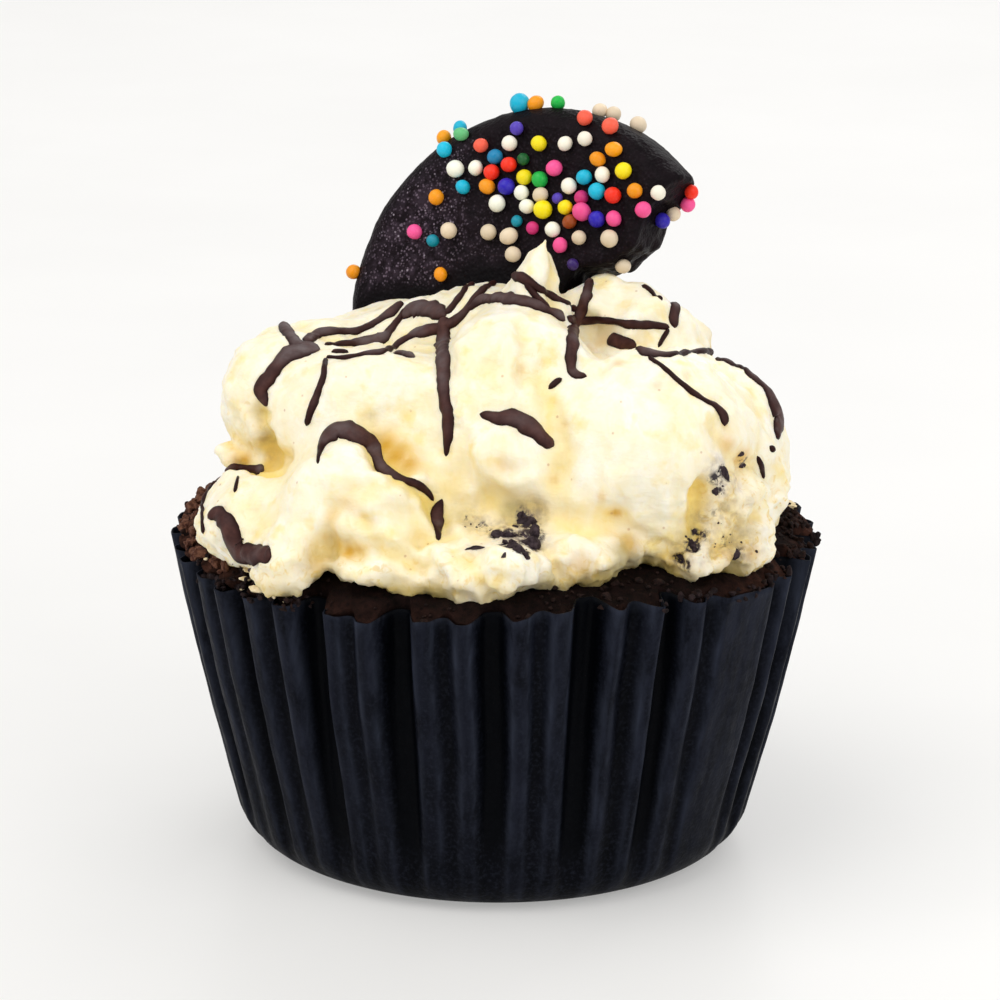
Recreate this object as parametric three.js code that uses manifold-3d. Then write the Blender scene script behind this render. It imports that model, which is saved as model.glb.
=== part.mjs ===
// A chocolate cupcake in a pleated black paper case, topped with a torn, lumpy
// mound of cookies-and-cream frosting and half a chocolate disc stood on edge.
//
// Frame: millimetres, +Z up, origin on the cup's axis at the table, front at -Y.
// Angles around the cup are measured from the front (-Y), positive towards +X.

import * as THREE from 'three';
import { mergeVertices } from 'three/addons/utils/BufferGeometryUtils.js';
import Module from 'manifold-3d';

// ---------------------------------------------------------------- dimensions

const GAP = 0.3;                 // clearance between neighbouring solids

// Pleated paper case
const CASE_HEIGHT = 34.2;
const CASE_RIM_RADIUS = 34.6;    // to the outside of the pleats
const CASE_WALL_FOOT = 26.66;    // where the straight wall would meet the table
const CASE_CORNER = 6.0;         // rounding between floor and wall
const CASE_PAPER = 0.5;
const PLEATS = 42;
const SAMPLES_PER_PLEAT = 4;
const COLUMNS = PLEATS * SAMPLES_PER_PLEAT;
const PLEAT_DEEP = 2.6;          // valley depth at the rim, every second pleat
const PLEAT_SHALLOW = 1.7;       // valley depth at the rim, the pleats between
const PLEAT_START = 1.0;         // height where the pleats fade out

// Cake
const CAKE_SHOULDER = 33.9;      // height where the side turns into the dome
const DOME_EDGE_RADIUS = 34.0;
const DOME_EDGE_HEIGHT = 34.6;
const DOME_RISE = 4.9;
const DOME_RINGS = [31, 24, 14];

// Chocolate disc, half of it, pressed upright into the frosting
const DISC_RADIUS = 22.4;
const DISC_THICKNESS = 7.0;
const DISC_EDGE = 2.8;           // edge rounding
const DISC_CENTRE = new THREE.Vector3(4.5, 6.0, 55.7);
const DISC_TURN = -30;           // degrees, face turned to the left of the front
const DISC_LEAN = 20;            // degrees, leaning back
const DISC_CUT_ANGLE = 48;       // degrees, direction of the broken edge
const DISC_CUT_WAVE = 0.5;       // unevenness of the broken edge

// Frosting: a mound of overlapping lumps, blended into each other
const MOUND_SEED = new THREE.Vector3(0, 0, 43);   // every outline point is seen from here
const MOUND_DETAIL = 13;
const MOUND_RIPPLE = 0.35;
const RIM_CLEAR_FROM = 34.3;     // outside this radius the frosting stays above the rim

// Each lump: centre x, y, z, radii x, y, z, tilt seen from the front, blend length
const LUMPS = {
  core_low:       [0.5, 2.0, 38.0, 25.0, 25.0, 12.0, 0, 3.0],
  core_middle:    [0.0, 4.0, 44.0, 20.0, 20.0, 12.5, 0, 4.0],
  core_top:       [1.0, 4.0, 50.5, 13.0, 12.0, 8.5, 0, 4.0],
  left_plateau:   [-13.8, -10.0, 50.2, 10.0, 8.6, 6.4, 12, 4.0],
  left_shoulder:  [-22.2, -4.5, 49.0, 6.6, 8.5, 7.8, 22, 3.5],
  left_crest:     [-20.0, 0.0, 51.5, 6.2, 8.0, 4.2, 10, 3.0],
  brow:           [2.0, -10.5, 55.0, 7.2, 7.0, 6.0, 0, 4.0],
  face:           [0.5, -15.0, 49.2, 8.0, 6.8, 6.4, 0, 4.5],
  right_bulge:    [14.8, -13.6, 46.4, 12.4, 10.6, 11.0, -8, 4.0],
  right_shoulder: [20.9, -4.6, 46.4, 9.8, 9.2, 7.9, -18, 4.0],
  right_flank:    [25.8, -2.6, 43.4, 4.6, 7.4, 5.4, -20, 3.0],
  left_fold:      [-24.3, -14.0, 39.4, 6.7, 8.0, 5.2, 0, 2.2],
  left_lip:       [-20.6, -22.8, 37.5, 4.8, 5.6, 4.4, 0, 2.4],
  left_bulge:     [-12.8, -18.6, 43.0, 9.0, 8.6, 7.2, 0, 2.6],
  left_skirt:     [-8.5, -23.0, 37.7, 10.0, 6.8, 4.2, 0, 3.0],
  curl:           [1.0, -19.6, 47.0, 5.0, 3.2, 2.8, -8, 3.0],
  recess:         [2.0, -17.6, 42.6, 8.5, 5.6, 5.0, 0, 3.0],
  front_lip:      [-0.4, -25.2, 37.5, 7.4, 6.3, 3.7, 0, 2.6],
  front_skirt:    [8.6, -21.4, 38.2, 7.4, 6.4, 4.2, 0, 2.4],
  right_fold:     [22.6, -13.0, 39.2, 6.4, 9.0, 5.0, 0, 2.4],
  right_edge:     [26.8, -5.0, 40.6, 4.4, 8.0, 5.4, 0, 2.4],
  right_lip:      [20.4, -19.4, 38.0, 4.4, 5.0, 3.4, 0, 2.0],
  right_tail:     [24.6, -16.8, 37.8, 3.8, 4.8, 3.4, 0, 2.0],
  petal:          [13.8, 1.2, 57.2, 7.4, 5.4, 3.0, -14, 2.0],
  petal_foot:     [16.0, 1.0, 53.4, 7.5, 6.5, 4.2, -10, 2.5],
  ridge:          [-8.5, 3.0, 54.0, 8.5, 7.0, 3.6, 14, 2.4],
  crown:          [-0.5, -1.0, 57.0, 7.0, 6.0, 3.6, 6, 2.4],
  back_left:      [-19.0, 12.0, 43.5, 8.6, 9.0, 8.0, 0, 2.6],
  back_mid_left:  [-9.0, 20.0, 42.0, 9.0, 8.0, 8.0, 0, 2.6],
  back_mid_right: [6.0, 21.0, 43.5, 10.0, 8.0, 8.5, 0, 2.6],
  back_right:     [19.0, 14.5, 42.0, 8.6, 9.0, 8.0, 0, 2.6],
  back_top:       [-2.0, 14.0, 50.0, 9.0, 7.0, 7.0, 0, 2.6],
  back_top_right: [11.5, 11.0, 49.5, 9.0, 7.5, 6.0, 0, 2.6],
  back_top_left:  [-13.0, 9.0, 50.0, 8.0, 7.0, 5.5, 0, 2.6],
  side_left:      [-24.0, 5.0, 37.5, 5.4, 8.0, 4.6, 0, 2.2],
  skirt_left:     [-13.5, 24.0, 38.5, 8.0, 6.0, 4.5, 0, 2.2],
  skirt_back:     [4.0, 27.0, 38.5, 8.0, 5.5, 4.5, 0, 2.2],
  skirt_right:    [18.5, 22.5, 38.5, 7.0, 6.0, 4.5, 0, 2.2],
  side_right:     [25.5, 8.0, 39.0, 5.6, 8.0, 5.0, 0, 2.2],
};

// The torn peak is a cone with a rounded end
const PEAK_FOOT = new THREE.Vector3(3.4, -5.5, 59.8);
const PEAK_TIP = new THREE.Vector3(5.4, -6.0, 67.2);
const PEAK_FOOT_RADIUS = 4.4;
const PEAK_TIP_RADIUS = 0.9;
const PEAK_BLEND = 1.5;

// ------------------------------------------------------------------- helpers

const wasm = await Module();
wasm.setup();

const rad = THREE.MathUtils.degToRad;

// A closed geometry as a solid: only positions kept, shared points merged.
function solidFrom(geometry) {
  const g = geometry.clone();
  for (const name of Object.keys(g.attributes)) if (name !== 'position') g.deleteAttribute(name);
  const merged = mergeVertices(g, 1e-4);
  const index = merged.index.array;
  const position = merged.attributes.position.array;
  const tris = [];
  for (let i = 0; i < index.length; i += 3) {
    const [a, b, c] = [index[i], index[i + 1], index[i + 2]];
    if (a !== b && b !== c && c !== a) tris.push(a, b, c);
  }
  if (signedVolume(position, tris) < 0) {
    for (let i = 0; i < tris.length; i += 3) [tris[i + 1], tris[i + 2]] = [tris[i + 2], tris[i + 1]];
  }
  return new wasm.Manifold(new wasm.Mesh({
    numProp: 3,
    vertProperties: new Float32Array(position),
    triVerts: new Uint32Array(tris),
  }));
}

function signedVolume(p, t) {
  let v = 0;
  for (let i = 0; i < t.length; i += 3) {
    const [a, b, c] = [3 * t[i], 3 * t[i + 1], 3 * t[i + 2]];
    v += p[a] * (p[b + 1] * p[c + 2] - p[b + 2] * p[c + 1])
       + p[a + 1] * (p[b + 2] * p[c] - p[b] * p[c + 2])
       + p[a + 2] * (p[b] * p[c + 1] - p[b + 1] * p[c]);
  }
  return v / 6;
}

function geometryFrom(solid) {
  const mesh = solid.getMesh();
  const g = new THREE.BufferGeometry();
  g.setAttribute('position', new THREE.BufferAttribute(new Float32Array(mesh.vertProperties), 3));
  g.setIndex(new THREE.BufferAttribute(new Uint32Array(mesh.triVerts), 1));
  return g;
}

// A lathe stood upright: profile pairs of radius and height, angle 0 at the front.
function upright(profile, segments) {
  const g = new THREE.LatheGeometry(profile.map(([r, z]) => new THREE.Vector2(r, z)), segments);
  g.rotateX(Math.PI / 2);
  return g;
}

// ------------------------------------------------------- pleated case profile

const wallSlope = (CASE_RIM_RADIUS - CASE_WALL_FOOT) / CASE_HEIGHT;
const wallRadius = (z) => CASE_WALL_FOOT + wallSlope * z;
const wallAngle = Math.PI / 2 - Math.atan(wallSlope);            // where the corner meets the wall
const cornerRadius = CASE_WALL_FOOT - CASE_CORNER * Math.tan((Math.PI / 2 - Math.atan(wallSlope)) / 2);

// The floor, corner and wall, moved inwards by an offset, up to a given height.
function cupProfile(offset, top) {
  const r = CASE_CORNER - offset;
  const corner = (a) => [cornerRadius + r * Math.sin(a), CASE_CORNER - r * Math.cos(a)];
  return [
    [0, offset],
    [cornerRadius, offset],
    corner(wallAngle / 2),
    corner(wallAngle),
    [wallRadius(top) - offset, top],
  ];
}

// How far a pleat's fold reaches inwards at an angle and a height.
function pleatDepth(angle, z) {
  const pitch = (2 * Math.PI) / PLEATS;
  const turns = ((angle / pitch) % PLEATS + PLEATS) % PLEATS;
  const nearest = Math.round(turns);
  const away = Math.abs(turns - nearest);                        // 0 in a valley, 0.5 on a ridge
  const depth = nearest % 2 === 0 ? PLEAT_DEEP : PLEAT_SHALLOW;
  const share = away < 0.25 ? 1 - away * 4 * 0.85 : 0.15 * (1 - (away - 0.25) * 4);
  const rise = THREE.MathUtils.clamp((z - PLEAT_START) / (CASE_HEIGHT - PLEAT_START), 0, 1);
  return depth * share * rise;
}

// Presses the pleats into a lathe; share(r, z) says how much of the fold a point takes.
function pressPleats(geometry, share) {
  const p = geometry.attributes.position;
  for (let i = 0; i < p.count; i++) {
    const x = p.getX(i), y = p.getY(i), z = p.getZ(i);
    const r = Math.hypot(x, y);
    if (r < 1e-6) continue;
    const s = (r - share(r, z) * pleatDepth(Math.atan2(x, -y), z)) / r;
    p.setXY(i, x * s, y * s);
  }
  return geometry;
}

// ---------------------------------------------------------------- paper case

// A pleated solid cup with a pleated hollow taken out of it. The hollow's wall runs
// parallel to the outside, so the paper has one thickness all round.
function pleatedCup(offset, lid) {
  const profile = cupProfile(offset, CASE_HEIGHT);
  const [rim] = profile[profile.length - 1];
  if (lid > CASE_HEIGHT) profile.push([rim, lid]);
  profile.push([0, lid]);
  return solidFrom(pressPleats(upright(profile, COLUMNS), (r) => (r > cornerRadius + 1 ? 1 : 0)));
}
const caseSolid = pleatedCup(0, CASE_HEIGHT).subtract(pleatedCup(CASE_PAPER, CASE_HEIGHT + 2));

// ---------------------------------------------------------------------- cake

const domeHeight = (r) => DOME_EDGE_HEIGHT + DOME_RISE * (1 - (r / DOME_EDGE_RADIUS) ** 2);
const cakeSide = cupProfile(CASE_PAPER + GAP, CAKE_SHOULDER);
const cakeSolid = solidFrom(pressPleats(
  upright([
    ...cakeSide,
    ...DOME_RINGS.map((r) => [r, domeHeight(r)]),
    [0, domeHeight(0)],
  ], COLUMNS),
  (r, z) => (z < CAKE_SHOULDER + 0.01 ? 1 : r > DOME_RINGS[0] - 1 ? 0.45 : 0),
));

// -------------------------------------------------------- half chocolate disc

// Local frame: X along the disc's level diameter, Y up the disc, Z out of its face.
const discFrame = (() => {
  const turn = rad(DISC_TURN), lean = rad(DISC_LEAN);
  const normal = new THREE.Vector3(Math.sin(turn) * Math.cos(lean), -Math.cos(turn) * Math.cos(lean), Math.sin(lean));
  const across = new THREE.Vector3(Math.cos(turn), Math.sin(turn), 0);
  const up = new THREE.Vector3().crossVectors(normal, across);
  return new THREE.Matrix4().makeBasis(across, up, normal).setPosition(DISC_CENTRE);
})();

function halfDisc(grow, segments) {
  const R = DISC_RADIUS + grow, half = DISC_THICKNESS / 2 + grow, e = DISC_EDGE;
  const profile = [[0, -half]];
  for (let i = 0; i <= 6; i++) {
    const a = rad(-90 + 30 * i);
    const lift = i < 3 ? -(half - e) : i > 3 ? half - e : 0;
    profile.push([R - e + e * Math.cos(a), lift + e * Math.sin(a)]);
  }
  profile.push([0, half]);
  const whole = upright(profile, segments);

  // The broken edge: a slightly wavy line through the centre; everything beyond it goes.
  const reach = R + 5;
  const edge = new THREE.Shape();
  edge.moveTo(-reach, -reach);
  edge.lineTo(reach, -reach);
  const steps = 14;
  for (let i = 0; i <= steps; i++) {
    const x = reach - (2 * reach * i) / steps;
    edge.lineTo(x, -grow + DISC_CUT_WAVE * (Math.sin(x * 0.55) + 0.5 * Math.sin(x * 1.3 + 1)));
  }
  edge.closePath();
  const knife = new THREE.ExtrudeGeometry(edge, { depth: 4 * half, bevelEnabled: false, steps: 1 });
  knife.translate(0, 0, -2 * half);
  knife.rotateZ(rad(DISC_CUT_ANGLE));

  for (const g of [whole, knife]) g.applyMatrix4(discFrame);
  return solidFrom(whole).subtract(solidFrom(knife));
}

const discSolid = halfDisc(0, 48);

// ------------------------------------------------------------------ frosting

// Distance-like measure of one ellipsoid, tilted in the front view.
function lumpDistance(p, [cx, cy, cz, rx, ry, rz, tilt]) {
  let x = p.x - cx, y = p.y - cy, z = p.z - cz;
  if (tilt) {
    const a = rad(tilt), c = Math.cos(a), s = Math.sin(a);
    [x, z] = [x * c + z * s, -x * s + z * c];
  }
  const k0 = Math.hypot(x / rx, y / ry, z / rz) + 1e-6;
  const k1 = Math.hypot(x / rx ** 2, y / ry ** 2, z / rz ** 2) + 1e-6;
  return (k0 * (k0 - 1)) / k1;
}

function peakDistance(p) {
  const axis = new THREE.Vector3().subVectors(PEAK_TIP, PEAK_FOOT);
  const rel = new THREE.Vector3().subVectors(p, PEAK_FOOT);
  const t = THREE.MathUtils.clamp(rel.dot(axis) / axis.lengthSq(), 0, 1);
  return rel.addScaledVector(axis, -t).length() - THREE.MathUtils.lerp(PEAK_FOOT_RADIUS, PEAK_TIP_RADIUS, t);
}

function blend(a, b, k) {
  const h = Math.max(k - Math.abs(a - b), 0) / k;
  return Math.min(a, b) - h * h * k * 0.25;
}

function moundDistance(p) {
  let d = Infinity;
  for (const lump of Object.values(LUMPS)) {
    const e = lumpDistance(p, lump);
    d = d === Infinity ? e : blend(d, e, lump[7]);
  }
  d = blend(d, peakDistance(p), PEAK_BLEND);
  return d - MOUND_RIPPLE * Math.sin(0.62 * p.x + 1.1) * Math.sin(0.58 * p.y + 0.4) * Math.sin(0.66 * p.z + 0.2);
}

// The outermost point of the mound in one direction.
function moundRadius(direction) {
  const p = new THREE.Vector3();
  const at = (t) => moundDistance(p.copy(MOUND_SEED).addScaledVector(direction, t));
  let t = 46;
  while (t > 2 && at(t) > 0) t -= 0.5;
  let [lo, hi] = [t, t + 0.5];
  for (let i = 0; i < 12; i++) {
    const m = (lo + hi) / 2;
    if (at(m) > 0) hi = m; else lo = m;
  }
  return lo;
}

const mound = new THREE.IcosahedronGeometry(1, MOUND_DETAIL);
{
  const p = mound.attributes.position;
  const known = new Map();
  const d = new THREE.Vector3();
  for (let i = 0; i < p.count; i++) {
    d.fromBufferAttribute(p, i).normalize();
    const key = [d.x, d.y, d.z].map((v) => v.toFixed(5)).join();
    if (!known.has(key)) known.set(key, d.clone().multiplyScalar(moundRadius(d)).add(MOUND_SEED));
    const q = known.get(key);
    p.setXYZ(i, q.x, q.y, q.z);
  }
}

// What the frosting must stay clear of: the cake's dome and the case's rim.
const clearance = solidFrom(upright([
  [0, 10],
  [60, 10],
  [60, CASE_HEIGHT + GAP],
  [RIM_CLEAR_FROM, CASE_HEIGHT + GAP],
  ...DOME_RINGS.map((r) => [r, domeHeight(r) + GAP]),
  [0, domeHeight(0) + GAP],
], 42));

const frostingSolid = solidFrom(mound).subtract(clearance).subtract(halfDisc(GAP, 48));

// --------------------------------------------------------------------- parts

const paper = new THREE.MeshStandardMaterial({ name: 'black_paper', color: 0x0e111c, roughness: 0.55, metalness: 0 });
const crumb = new THREE.MeshStandardMaterial({ name: 'chocolate_crumb', color: 0x2d160f, roughness: 0.95, metalness: 0 });
const cream = new THREE.MeshStandardMaterial({ name: 'cream_frosting', color: 0xfbeebd, roughness: 0.45, metalness: 0 });
const chocolate = new THREE.MeshStandardMaterial({ name: 'dark_chocolate', color: 0x1e1619, roughness: 0.5, metalness: 0 });

function part(name, solid, material) {
  const mesh = new THREE.Mesh(geometryFrom(solid), material);
  mesh.name = name;
  return mesh;
}

const cupcake = new THREE.Group();
cupcake.add(
  part('paper_case', caseSolid, paper),
  part('cake', cakeSolid, crumb),
  part('frosting', frostingSolid, cream),
  part('chocolate_half_disc', discSolid, chocolate),
);

export default cupcake;
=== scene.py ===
import math

import bpy
import numpy as np
from mathutils import Matrix, Vector
from mathutils.bvhtree import BVHTree


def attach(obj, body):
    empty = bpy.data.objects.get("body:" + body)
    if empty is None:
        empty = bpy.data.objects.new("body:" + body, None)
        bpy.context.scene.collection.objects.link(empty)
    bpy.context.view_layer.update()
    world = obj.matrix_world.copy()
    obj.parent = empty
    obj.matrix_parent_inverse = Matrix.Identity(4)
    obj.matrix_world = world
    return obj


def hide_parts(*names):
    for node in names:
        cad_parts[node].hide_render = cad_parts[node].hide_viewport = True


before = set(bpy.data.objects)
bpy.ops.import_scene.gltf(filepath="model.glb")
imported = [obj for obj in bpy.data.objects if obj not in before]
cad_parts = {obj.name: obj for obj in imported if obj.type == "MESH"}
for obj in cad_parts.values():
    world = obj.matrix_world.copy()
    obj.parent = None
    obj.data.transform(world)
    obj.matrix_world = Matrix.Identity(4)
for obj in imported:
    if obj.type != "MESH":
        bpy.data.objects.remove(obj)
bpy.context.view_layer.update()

MM = 0.001
TAU = 2 * math.pi

# ------------------------------------------------------------------ dimensions (mm)

CASE_HEIGHT = 34.2
CASE_RIM = 34.6
CASE_FOOT = 26.66
CASE_CORNER = 6.0
PAPER = 0.16

DOME_EDGE_RADIUS = 34.0
DOME_EDGE_HEIGHT = 34.6
DOME_RISE = 4.9

DISC_RADIUS = 22.4
DISC_HALF = 3.5
DISC_EDGE = 2.8
DISC_CENTRE = np.array([4.5, 6.0, 55.7])
DISC_TURN = math.radians(-30)
DISC_LEAN = math.radians(20)
DISC_CUT = math.radians(48)


def dome_height(r):
    return DOME_EDGE_HEIGHT + DOME_RISE * (1 - (np.minimum(r, DOME_EDGE_RADIUS) / DOME_EDGE_RADIUS) ** 2)


# ------------------------------------------------------------------ camera

CAM_ELEVATION, CAM_ROLL = math.radians(17.14), math.radians(0.70)
CAM_FOCAL = 1787.33                      # in pixels of a 1000 pixel wide view
CAM_PLACE = np.array([4.8087, -566.878, 207.109])
FORWARD = np.array([0, math.cos(CAM_ELEVATION), -math.sin(CAM_ELEVATION)])
_right, _up = np.array([1.0, 0, 0]), np.array([0, math.sin(CAM_ELEVATION), math.cos(CAM_ELEVATION)])
RIGHT = math.cos(CAM_ROLL) * _right + math.sin(CAM_ROLL) * _up
UP = -math.sin(CAM_ROLL) * _right + math.cos(CAM_ROLL) * _up


def sight(u, v):
    """Unit direction from the viewing place through a point of the 1000 x 1000 view."""
    d = FORWARD + RIGHT * ((u - 500) / CAM_FOCAL) - UP * ((v - 500) / CAM_FOCAL)
    return d / np.linalg.norm(d)


def make_camera(centre=(487.0, 486.0), window=322.0):
    d = Vector(sight(*centre))
    right = Vector(RIGHT)
    right = (right - d * right.dot(d)).normalized()
    up = right.cross(d)
    data = bpy.data.cameras.new("camera")
    cam = bpy.data.objects.new("camera", data)
    bpy.context.scene.collection.objects.link(cam)
    place = Vector(CAM_PLACE) * MM
    cam.matrix_world = Matrix((
        (right.x, up.x, -d.x, place.x),
        (right.y, up.y, -d.y, place.y),
        (right.z, up.z, -d.z, place.z),
        (0, 0, 0, 1),
    ))
    data.sensor_width = 36
    data.lens = 36 * CAM_FOCAL / window
    data.clip_start, data.clip_end = 0.01, 50
    bpy.context.scene.camera = cam
    return cam


make_camera()


# ------------------------------------------------------------------ noise and distance fields

def _tables(seed):
    r = np.random.RandomState(seed)
    p = np.arange(256)
    r.shuffle(p)
    g = r.normal(size=(256, 3))
    g /= np.linalg.norm(g, axis=1)[:, None]
    return np.concatenate([p, p, p]).astype(np.int32), g.astype(np.float32)


_noise_tables = {}


def noise(P, seed=0):
    """Gradient noise of points (..., 3), about -1 to 1."""
    if seed not in _noise_tables:
        _noise_tables[seed] = _tables(seed)
    perm, grad = _noise_tables[seed]
    P = np.asarray(P, np.float32)
    cell = np.floor(P).astype(np.int32)
    f = P - cell
    cell &= 255
    u = f * f * f * (f * (f * 6 - 15) + 10)
    out = 0
    for dx in (0, 1):
        wx = u[..., 0] if dx else 1 - u[..., 0]
        hx = perm[(cell[..., 0] + dx) & 255]
        for dy in (0, 1):
            wy = u[..., 1] if dy else 1 - u[..., 1]
            hy = perm[hx + ((cell[..., 1] + dy) & 255)]
            for dz in (0, 1):
                wz = u[..., 2] if dz else 1 - u[..., 2]
                g = grad[perm[hy + ((cell[..., 2] + dz) & 255)] & 255]
                out = out + wx * wy * wz * (
                    g[..., 0] * (f[..., 0] - dx) + g[..., 1] * (f[..., 1] - dy) + g[..., 2] * (f[..., 2] - dz))
    return out * 1.6


def layers(P, seed, octaves=3, gain=0.5):
    total, amp, scale = 0, 1.0, 1.0
    for i in range(octaves):
        total = total + amp * noise(P * scale + 13.7 * i, seed + i)
        amp *= gain
        scale *= 2.03
    return total


def ridged(P, seed, octaves=2):
    total, amp, scale = 0, 1.0, 1.0
    for i in range(octaves):
        total = total + amp * (1 - 2 * np.abs(noise(P * scale + 7.3 * i, seed + i)))
        amp *= 0.5
        scale *= 2.1
    return total


def smoothstep(a, b, x):
    t = np.clip((x - a) / (b - a), 0, 1)
    return t * t * (3 - 2 * t)


def soft_min(a, b, k):
    h = np.maximum(k - np.abs(a - b), 0) / k
    return np.minimum(a, b) - h * h * k * 0.25


def soft_max(a, b, k):
    return -soft_min(-a, -b, k)


def ellipsoid(X, Y, Z, lump):
    cx, cy, cz, rx, ry, rz, tilt = lump[:7]
    x, y, z = X - cx, Y - cy, Z - cz
    if tilt:
        c, s = math.cos(math.radians(tilt)), math.sin(math.radians(tilt))
        x, z = x * c + z * s, -x * s + z * c
    k0 = np.sqrt((x / rx) ** 2 + (y / ry) ** 2 + (z / rz) ** 2) + 1e-6
    k1 = np.sqrt((x / rx ** 2) ** 2 + (y / ry ** 2) ** 2 + (z / rz ** 2) ** 2) + 1e-6
    return k0 * (k0 - 1) / k1


def cone(X, Y, Z, a, b, ra, rb):
    a, b = np.array(a, float), np.array(b, float)
    ab = b - a
    t = np.clip(((X - a[0]) * ab[0] + (Y - a[1]) * ab[1] + (Z - a[2]) * ab[2]) / (ab @ ab), 0, 1)
    return np.sqrt((X - a[0] - t * ab[0]) ** 2 + (Y - a[1] - t * ab[1]) ** 2 + (Z - a[2] - t * ab[2]) ** 2) \
        - (ra + (rb - ra) * t)


def surface_of(D, origin, h):
    """Quads over the zero surface of a grid of distances, one vertex in each cell it crosses."""
    inside = D < 0
    nx, ny, nz = D.shape
    corners = [(i, j, k) for i in (0, 1) for j in (0, 1) for k in (0, 1)]
    count = sum(inside[i:nx - 1 + i, j:ny - 1 + j, k:nz - 1 + k].astype(np.int8) for i, j, k in corners)
    active = (count > 0) & (count < 8)
    ids = np.argwhere(active)
    index = -np.ones(active.shape, np.int64)
    index[active] = np.arange(len(ids))
    I, J, K = ids.T
    pos, weight = np.zeros((len(ids), 3)), np.zeros(len(ids))
    for a in range(8):
        for b in range(a + 1, 8):
            ca, cb = corners[a], corners[b]
            if sum(abs(p - q) for p, q in zip(ca, cb)) != 1:
                continue
            da, db = D[I + ca[0], J + ca[1], K + ca[2]], D[I + cb[0], J + cb[1], K + cb[2]]
            cross = (da < 0) != (db < 0)
            t = np.where(cross, da / np.where(cross, da - db, 1), 0)
            p = np.array(ca)[None] + t[:, None] * (np.array(cb) - np.array(ca))[None]
            pos += np.where(cross[:, None], p, 0)
            weight += cross
    pos = pos / weight[:, None] + ids
    quads = []
    for ax in range(3):
        s0, s1 = [slice(1, -1)] * 3, [slice(1, -1)] * 3
        s0[ax], s1[ax] = slice(0, -1), slice(1, None)
        a, b = inside[tuple(s0)], inside[tuple(s1)]
        e = np.argwhere(a != b)
        out = a[tuple(e.T)]
        shift = np.ones(3, int)
        shift[ax] = 0
        e = e + shift
        u, v = [(1, 2), (2, 0), (0, 1)][ax]
        du, dv = np.zeros(3, int), np.zeros(3, int)
        du[u], dv[v] = 1, 1
        q = np.stack([index[tuple((e - du - dv).T)], index[tuple((e - dv).T)], index[tuple(e.T)],
                      index[tuple((e - du).T)]], 1)
        q[~out] = q[~out][:, ::-1]
        quads.append(q)
    return pos * h + np.array(origin), np.concatenate(quads)


def biggest_piece(V, Q):
    """Drops loose specks, keeping the largest connected piece."""
    label = np.arange(len(V))
    while True:
        low = label[Q].min(1)
        new = label.copy()
        for k in range(4):
            np.minimum.at(new, Q[:, k], low)
        new = new[new]
        if (new == label).all():
            break
        label = new
    names, counts = np.unique(label[Q[:, 0]], return_counts=True)
    keep = names[counts.argmax()]
    Q = Q[label[Q[:, 0]] == keep]
    used = np.unique(Q)
    back = -np.ones(len(V), np.int64)
    back[used] = np.arange(len(used))
    return V[used], back[Q]


def normals_of(V, Q):
    q = V[Q]
    n = np.cross(q[:, 2] - q[:, 0], q[:, 3] - q[:, 1])
    N = np.zeros_like(V)
    for k in range(4):
        np.add.at(N, Q[:, k], n)
    return N / (np.linalg.norm(N, axis=1)[:, None] + 1e-12)


def relax(V, Q, steps=1, amount=0.5):
    a = np.concatenate([Q[:, [0, 1]], Q[:, [1, 2]], Q[:, [2, 3]], Q[:, [3, 0]]])
    for _ in range(steps):
        s, c = np.zeros_like(V), np.zeros(len(V))
        np.add.at(s, a[:, 0], V[a[:, 1]])
        np.add.at(c, a[:, 0], 1)
        V = V + amount * (s / c[:, None] - V)
    return V


def settle(V, Q, distance, steps=2):
    """Moves points onto the true surface, which takes out the grid's terraces."""
    for _ in range(steps):
        N = normals_of(V, Q)
        V = V - N * np.clip(distance(*V.T), -0.3, 0.3)[:, None] * 0.9
    return V


# ------------------------------------------------------------------ meshes

def mesh_object(name, V, faces, smooth=True):
    """An object from vertices in mm and faces of any size (an (n, 4) or (n, 3) array, or a list)."""
    me = bpy.data.meshes.new(name)
    V = np.asarray(V, np.float64) * MM
    if isinstance(faces, np.ndarray):
        n, size = faces.shape
        me.vertices.add(len(V))
        me.vertices.foreach_set("co", V.astype(np.float32).ravel())
        me.loops.add(n * size)
        me.loops.foreach_set("vertex_index", faces.astype(np.int32).ravel())
        me.polygons.add(n)
        me.polygons.foreach_set("loop_start", np.arange(0, n * size, size, dtype=np.int32))
    else:
        me.from_pydata([tuple(v) for v in V], [], [tuple(int(i) for i in f) for f in faces])
    me.update(calc_edges=True)
    me.validate()
    me.polygons.foreach_set("use_smooth", np.full(len(me.polygons), smooth, bool))
    me.update()
    ob = bpy.data.objects.new(name, me)
    bpy.context.scene.collection.objects.link(ob)
    return ob


def add_values(ob, name, values):
    """A number at each vertex."""
    at = ob.data.attributes.new(name, "FLOAT", "POINT")
    at.data.foreach_set("value", np.asarray(values, np.float32))


def add_colours(ob, name, colours):
    at = ob.data.color_attributes.new(name, "FLOAT_COLOR", "POINT")
    rgba = np.ones((len(colours), 4), np.float32)
    rgba[:, :3] = colours
    at.data.foreach_set("color", rgba.ravel())


def tree_of(V, Q):
    return BVHTree.FromPolygons([tuple(v) for v in V], [tuple(int(i) for i in q) for q in Q])


def linear(rgb):
    c = np.asarray(rgb, float) / 255
    return np.where(c <= 0.04045, c / 12.92, ((c + 0.055) / 1.055) ** 2.4)


# ------------------------------------------------------------------ materials

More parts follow.
